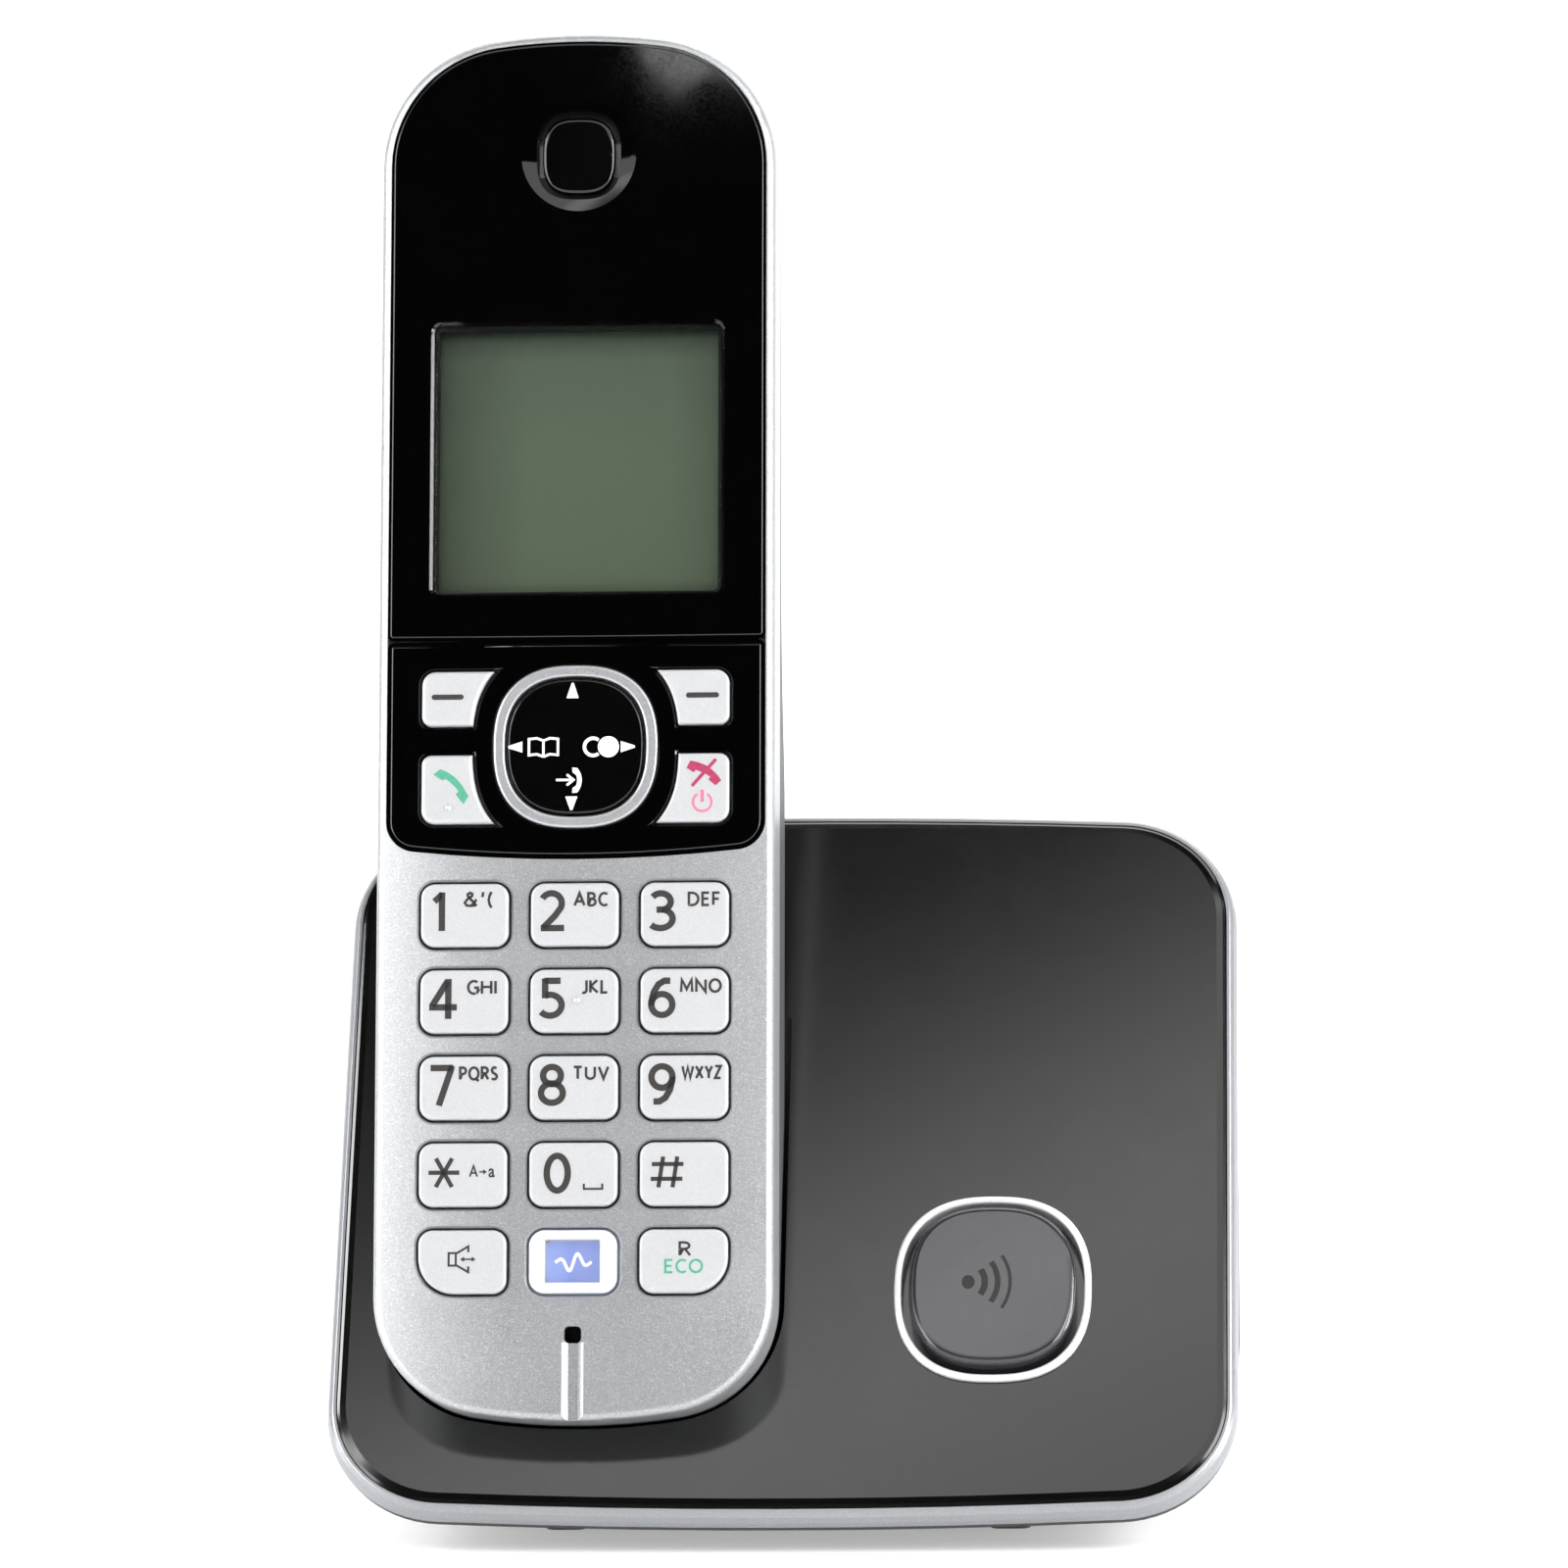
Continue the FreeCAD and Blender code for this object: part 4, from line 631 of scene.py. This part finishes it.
ms.append(shape_mesh("n", [arcp(-1.5, 77.05, 2.3, 40, -40, 14) + [(-0.35, 75.5), (-0.3, 76.1)] + arcp(-1.5, 77.05, 1.75, -22, 22, 8) + [(-0.3, 78.0), (-0.35, 78.6)]], HS, NT, None, None))
join("mark_navigator", ms, ink_white, "nav_key")

# icon on the page button: a flat dark mark whose dark tone is painted shade standing in for the recessed icon
BT = 2.115
px_, py_ = 25.0, 29.9
ic = [shape_mesh("i", [circle(px_ - 2.6, py_, 0.78, ry=0.92)], PL, BT, None, None)]
for r, w, a in ((2.3, 0.78, 40), (3.85, 0.68, 38), (5.35, 0.40, 36)):
    ic.append(shape_mesh("i", ribbon(arcp(px_ - 2.9, py_, r, a, -a, 14, ry=r * 1.12), w), PL, BT, None, None))
join("mark_page", ic, icon_recess_painted_shade, "page_button")

# ------------------------------------------------------------------ stage
class Holder:
    def __init__(self, m):
        self.m = m

def plane_mesh(name, co, faces, material):
    me = bpy.data.meshes.new(name)
    me.from_pydata(co, [], faces)
    ob = bpy.data.objects.new(name, me)
    bpy.context.scene.collection.objects.link(ob)
    me.materials.append(material.m)
    return ob

m = Mat("floor_white")
g = m.noise(30, 3)
m.set(color=m.mix(m.rng(g, 0.3, 0.7, 0, 1), (0.86, 0.86, 0.86, 1), (0.88, 0.88, 0.88, 1)), rough=m.rng(g, 0.3, 0.7, 0.75, 0.85))
m.b.inputs["Emission Color"].default_value = (1, 1, 1, 1)
m.b.inputs["Emission Strength"].default_value = 0.36
prof = [(-1.6, 0.0), (0.9, 0.0)]
prof += [(0.9 + 0.6 * math.sin(math.radians(a)), 0.6 - 0.6 * math.cos(math.radians(a))) for a in range(6, 91, 6)]
prof += [(1.5, 2.6)]
co, fa = [], []
for y, z in prof:
    co += [(-3.0, y, z), (3.0, y, z)]
for i in range(len(prof) - 1):
    fa.append((2 * i, 2 * i + 1, 2 * i + 3, 2 * i + 2))
floor = plane_mesh("backdrop", co, fa, m)
for p in floor.data.polygons:
    p.use_smooth = True

def glow_poly(name, corners, stops, strength, axis_from, axis_to):
    return glow(name, corners, stops, strength, axis_from, axis_to)

def glow(name, corners, stops, strength, axis_from, axis_to):
    """A soft light panel whose brightness runs from one side to the other."""
    gm = bpy.data.materials.new(name)
    gm.use_nodes = True
    t = gm.node_tree
    t.nodes.clear()
    out = t.nodes.new("ShaderNodeOutputMaterial")
    em = t.nodes.new("ShaderNodeEmission")
    tc = t.nodes.new("ShaderNodeTexCoord")
    sub = t.nodes.new("ShaderNodeVectorMath"); sub.operation = "SUBTRACT"
    sub.inputs[1].default_value = axis_from
    dot = t.nodes.new("ShaderNodeVectorMath"); dot.operation = "DOT_PRODUCT"
    d = Vector(axis_to) - Vector(axis_from)
    dot.inputs[1].default_value = d / d.length_squared
    rp = t.nodes.new("ShaderNodeValToRGB")
    e = rp.color_ramp.elements
    while len(e) > 1:
        e.remove(e[-1])
    for i, (p, v) in enumerate(stops):
        el = e[0] if i == 0 else e.new(p)
        el.position = p
        el.color = (v, v, v, 1)
    rp.color_ramp.interpolation = "LINEAR"
    t.links.new(tc.outputs["Object"], sub.inputs[0])
    t.links.new(sub.outputs[0], dot.inputs[0])
    t.links.new(dot.outputs["Value"], rp.inputs[0])
    t.links.new(rp.outputs["Color"], em.inputs["Color"])
    em.inputs["Strength"].default_value = strength
    t.links.new(em.outputs[0], out.inputs["Surface"])
    return plane_mesh(name, corners, [tuple(range(len(corners)))], Holder(gm))

def area(name, loc, target, sx, sy, power, color=(1, 1, 1)):
    l = bpy.data.lights.new(name, "AREA")
    l.shape = "RECTANGLE"
    l.size, l.size_y = sx, sy
    l.energy = power
    l.color = color
    o = bpy.data.objects.new(name, l)
    o.location = loc
    o.rotation_euler = (Vector(target) - Vector(loc)).to_track_quat("-Z", "Y").to_euler()
    bpy.context.scene.collection.objects.link(o)
    return o

# overhead panel in front, mirrored by the sloping plate: dim towards the back left, bright towards the front
d_ = Vector((0.47, -0.88, 0.0)).normalized()
p0 = d_ * 0.26 + Vector((0, 0, 0.80))
p1 = d_ * 0.44 + Vector((0, 0, 0.80))
glow("panel_overhead", [(-0.75, -1.05, 0.80), (-0.75, 0.12, 0.80), (0.75, 0.12, 0.80), (0.75, -1.05, 0.80)],
     [(0.0, 0.0), (0.07, 0.02), (0.172, 0.04), (0.219, 0.07), (0.282, 0.17), (0.345, 0.235), (0.404, 0.41), (0.461, 0.57), (0.527, 0.77), (0.588, 0.92), (0.68, 0.95), (0.80, 0.95), (0.83, 0.91), (0.89, 0.81), (0.947, 0.67), (1.0, 0.60)], 3.35, tuple(p0), tuple(p1))
# small light card high in front, mirrored at the top right of the display panel
glow_poly("card_a", [(-0.088, -0.7915, 0.6018), (-0.0768, -0.7919, 0.6019), (-0.0712, -0.7937, 0.5977), (-0.0724, -0.795, 0.594), (-0.0764, -0.7957, 0.5918), (-0.0796, -0.7969, 0.588), (-0.0822, -0.7952, 0.5923), (-0.0858, -0.7935, 0.5967)],
          [(0.0, 0.10), (0.45, 0.55), (1.0, 1.0)], 5.0, (-0.0796, -0.7969, 0.588), (-0.0770, -0.7925, 0.5990))
glow_poly("card_b", [(-0.0712, -0.7937, 0.5977), (-0.0635, -0.7939, 0.5977), (-0.0602, -0.7979, 0.5872), (-0.0625, -0.7975, 0.588), (-0.0665, -0.7957, 0.5926), (-0.0724, -0.795, 0.594)],
          [(0.0, 0.06), (1.0, 0.8)], 3.0, (-0.0615, -0.7975, 0.5880), (-0.0690, -0.7937, 0.5970))
area("light_back_top", (0.0, 0.75, 1.5), (0, 0.25, 0.0), 2.4, 1.2, 28)
area("light_left", (-0.85, -0.62, 0.50), (0, 0, 0.09), 0.55, 1.1, 12)
area("light_right", (0.92, -0.55, 0.50), (0, 0, 0.09), 0.45, 1.1, 14.5)
area("light_side_left", (-0.60, -0.06, 0.16), (0, -0.03, 0.09), 0.14, 0.6, 4.0)
area("light_side_right", (0.60, -0.06, 0.16), (0, -0.03, 0.09), 0.14, 0.6, 4.5)

w = bpy.data.worlds.new("studio")
bpy.context.scene.world = w
w.use_nodes = True
w.node_tree.nodes["Background"].inputs["Color"].default_value = (1, 1, 1, 1)
w.node_tree.nodes["Background"].inputs["Strength"].default_value = 0.02

# ------------------------------------------------------------------ camera
cam = bpy.data.cameras.new("camera")
cam.sensor_width = 36.0
cam.lens = 194.6
co_ = bpy.data.objects.new("camera", cam)
bpy.context.scene.collection.objects.link(co_)
r = Vector((0.99802252, 0.06135515, -0.01365985))
v = Vector((0.00823376, 0.08783462, 0.99610104))
f = r.cross(v) * -1
R = Matrix((r, v, -f)).transposed()
loc = Vector((0.06431, -1.03424, 0.17950))
co_.matrix_world = Matrix.Translation(loc) @ R.to_4x4()
cam.clip_start, cam.clip_end = 0.05, 20
bpy.context.scene.camera = co_
bpy.context.scene.view_settings.view_transform = "Standard"
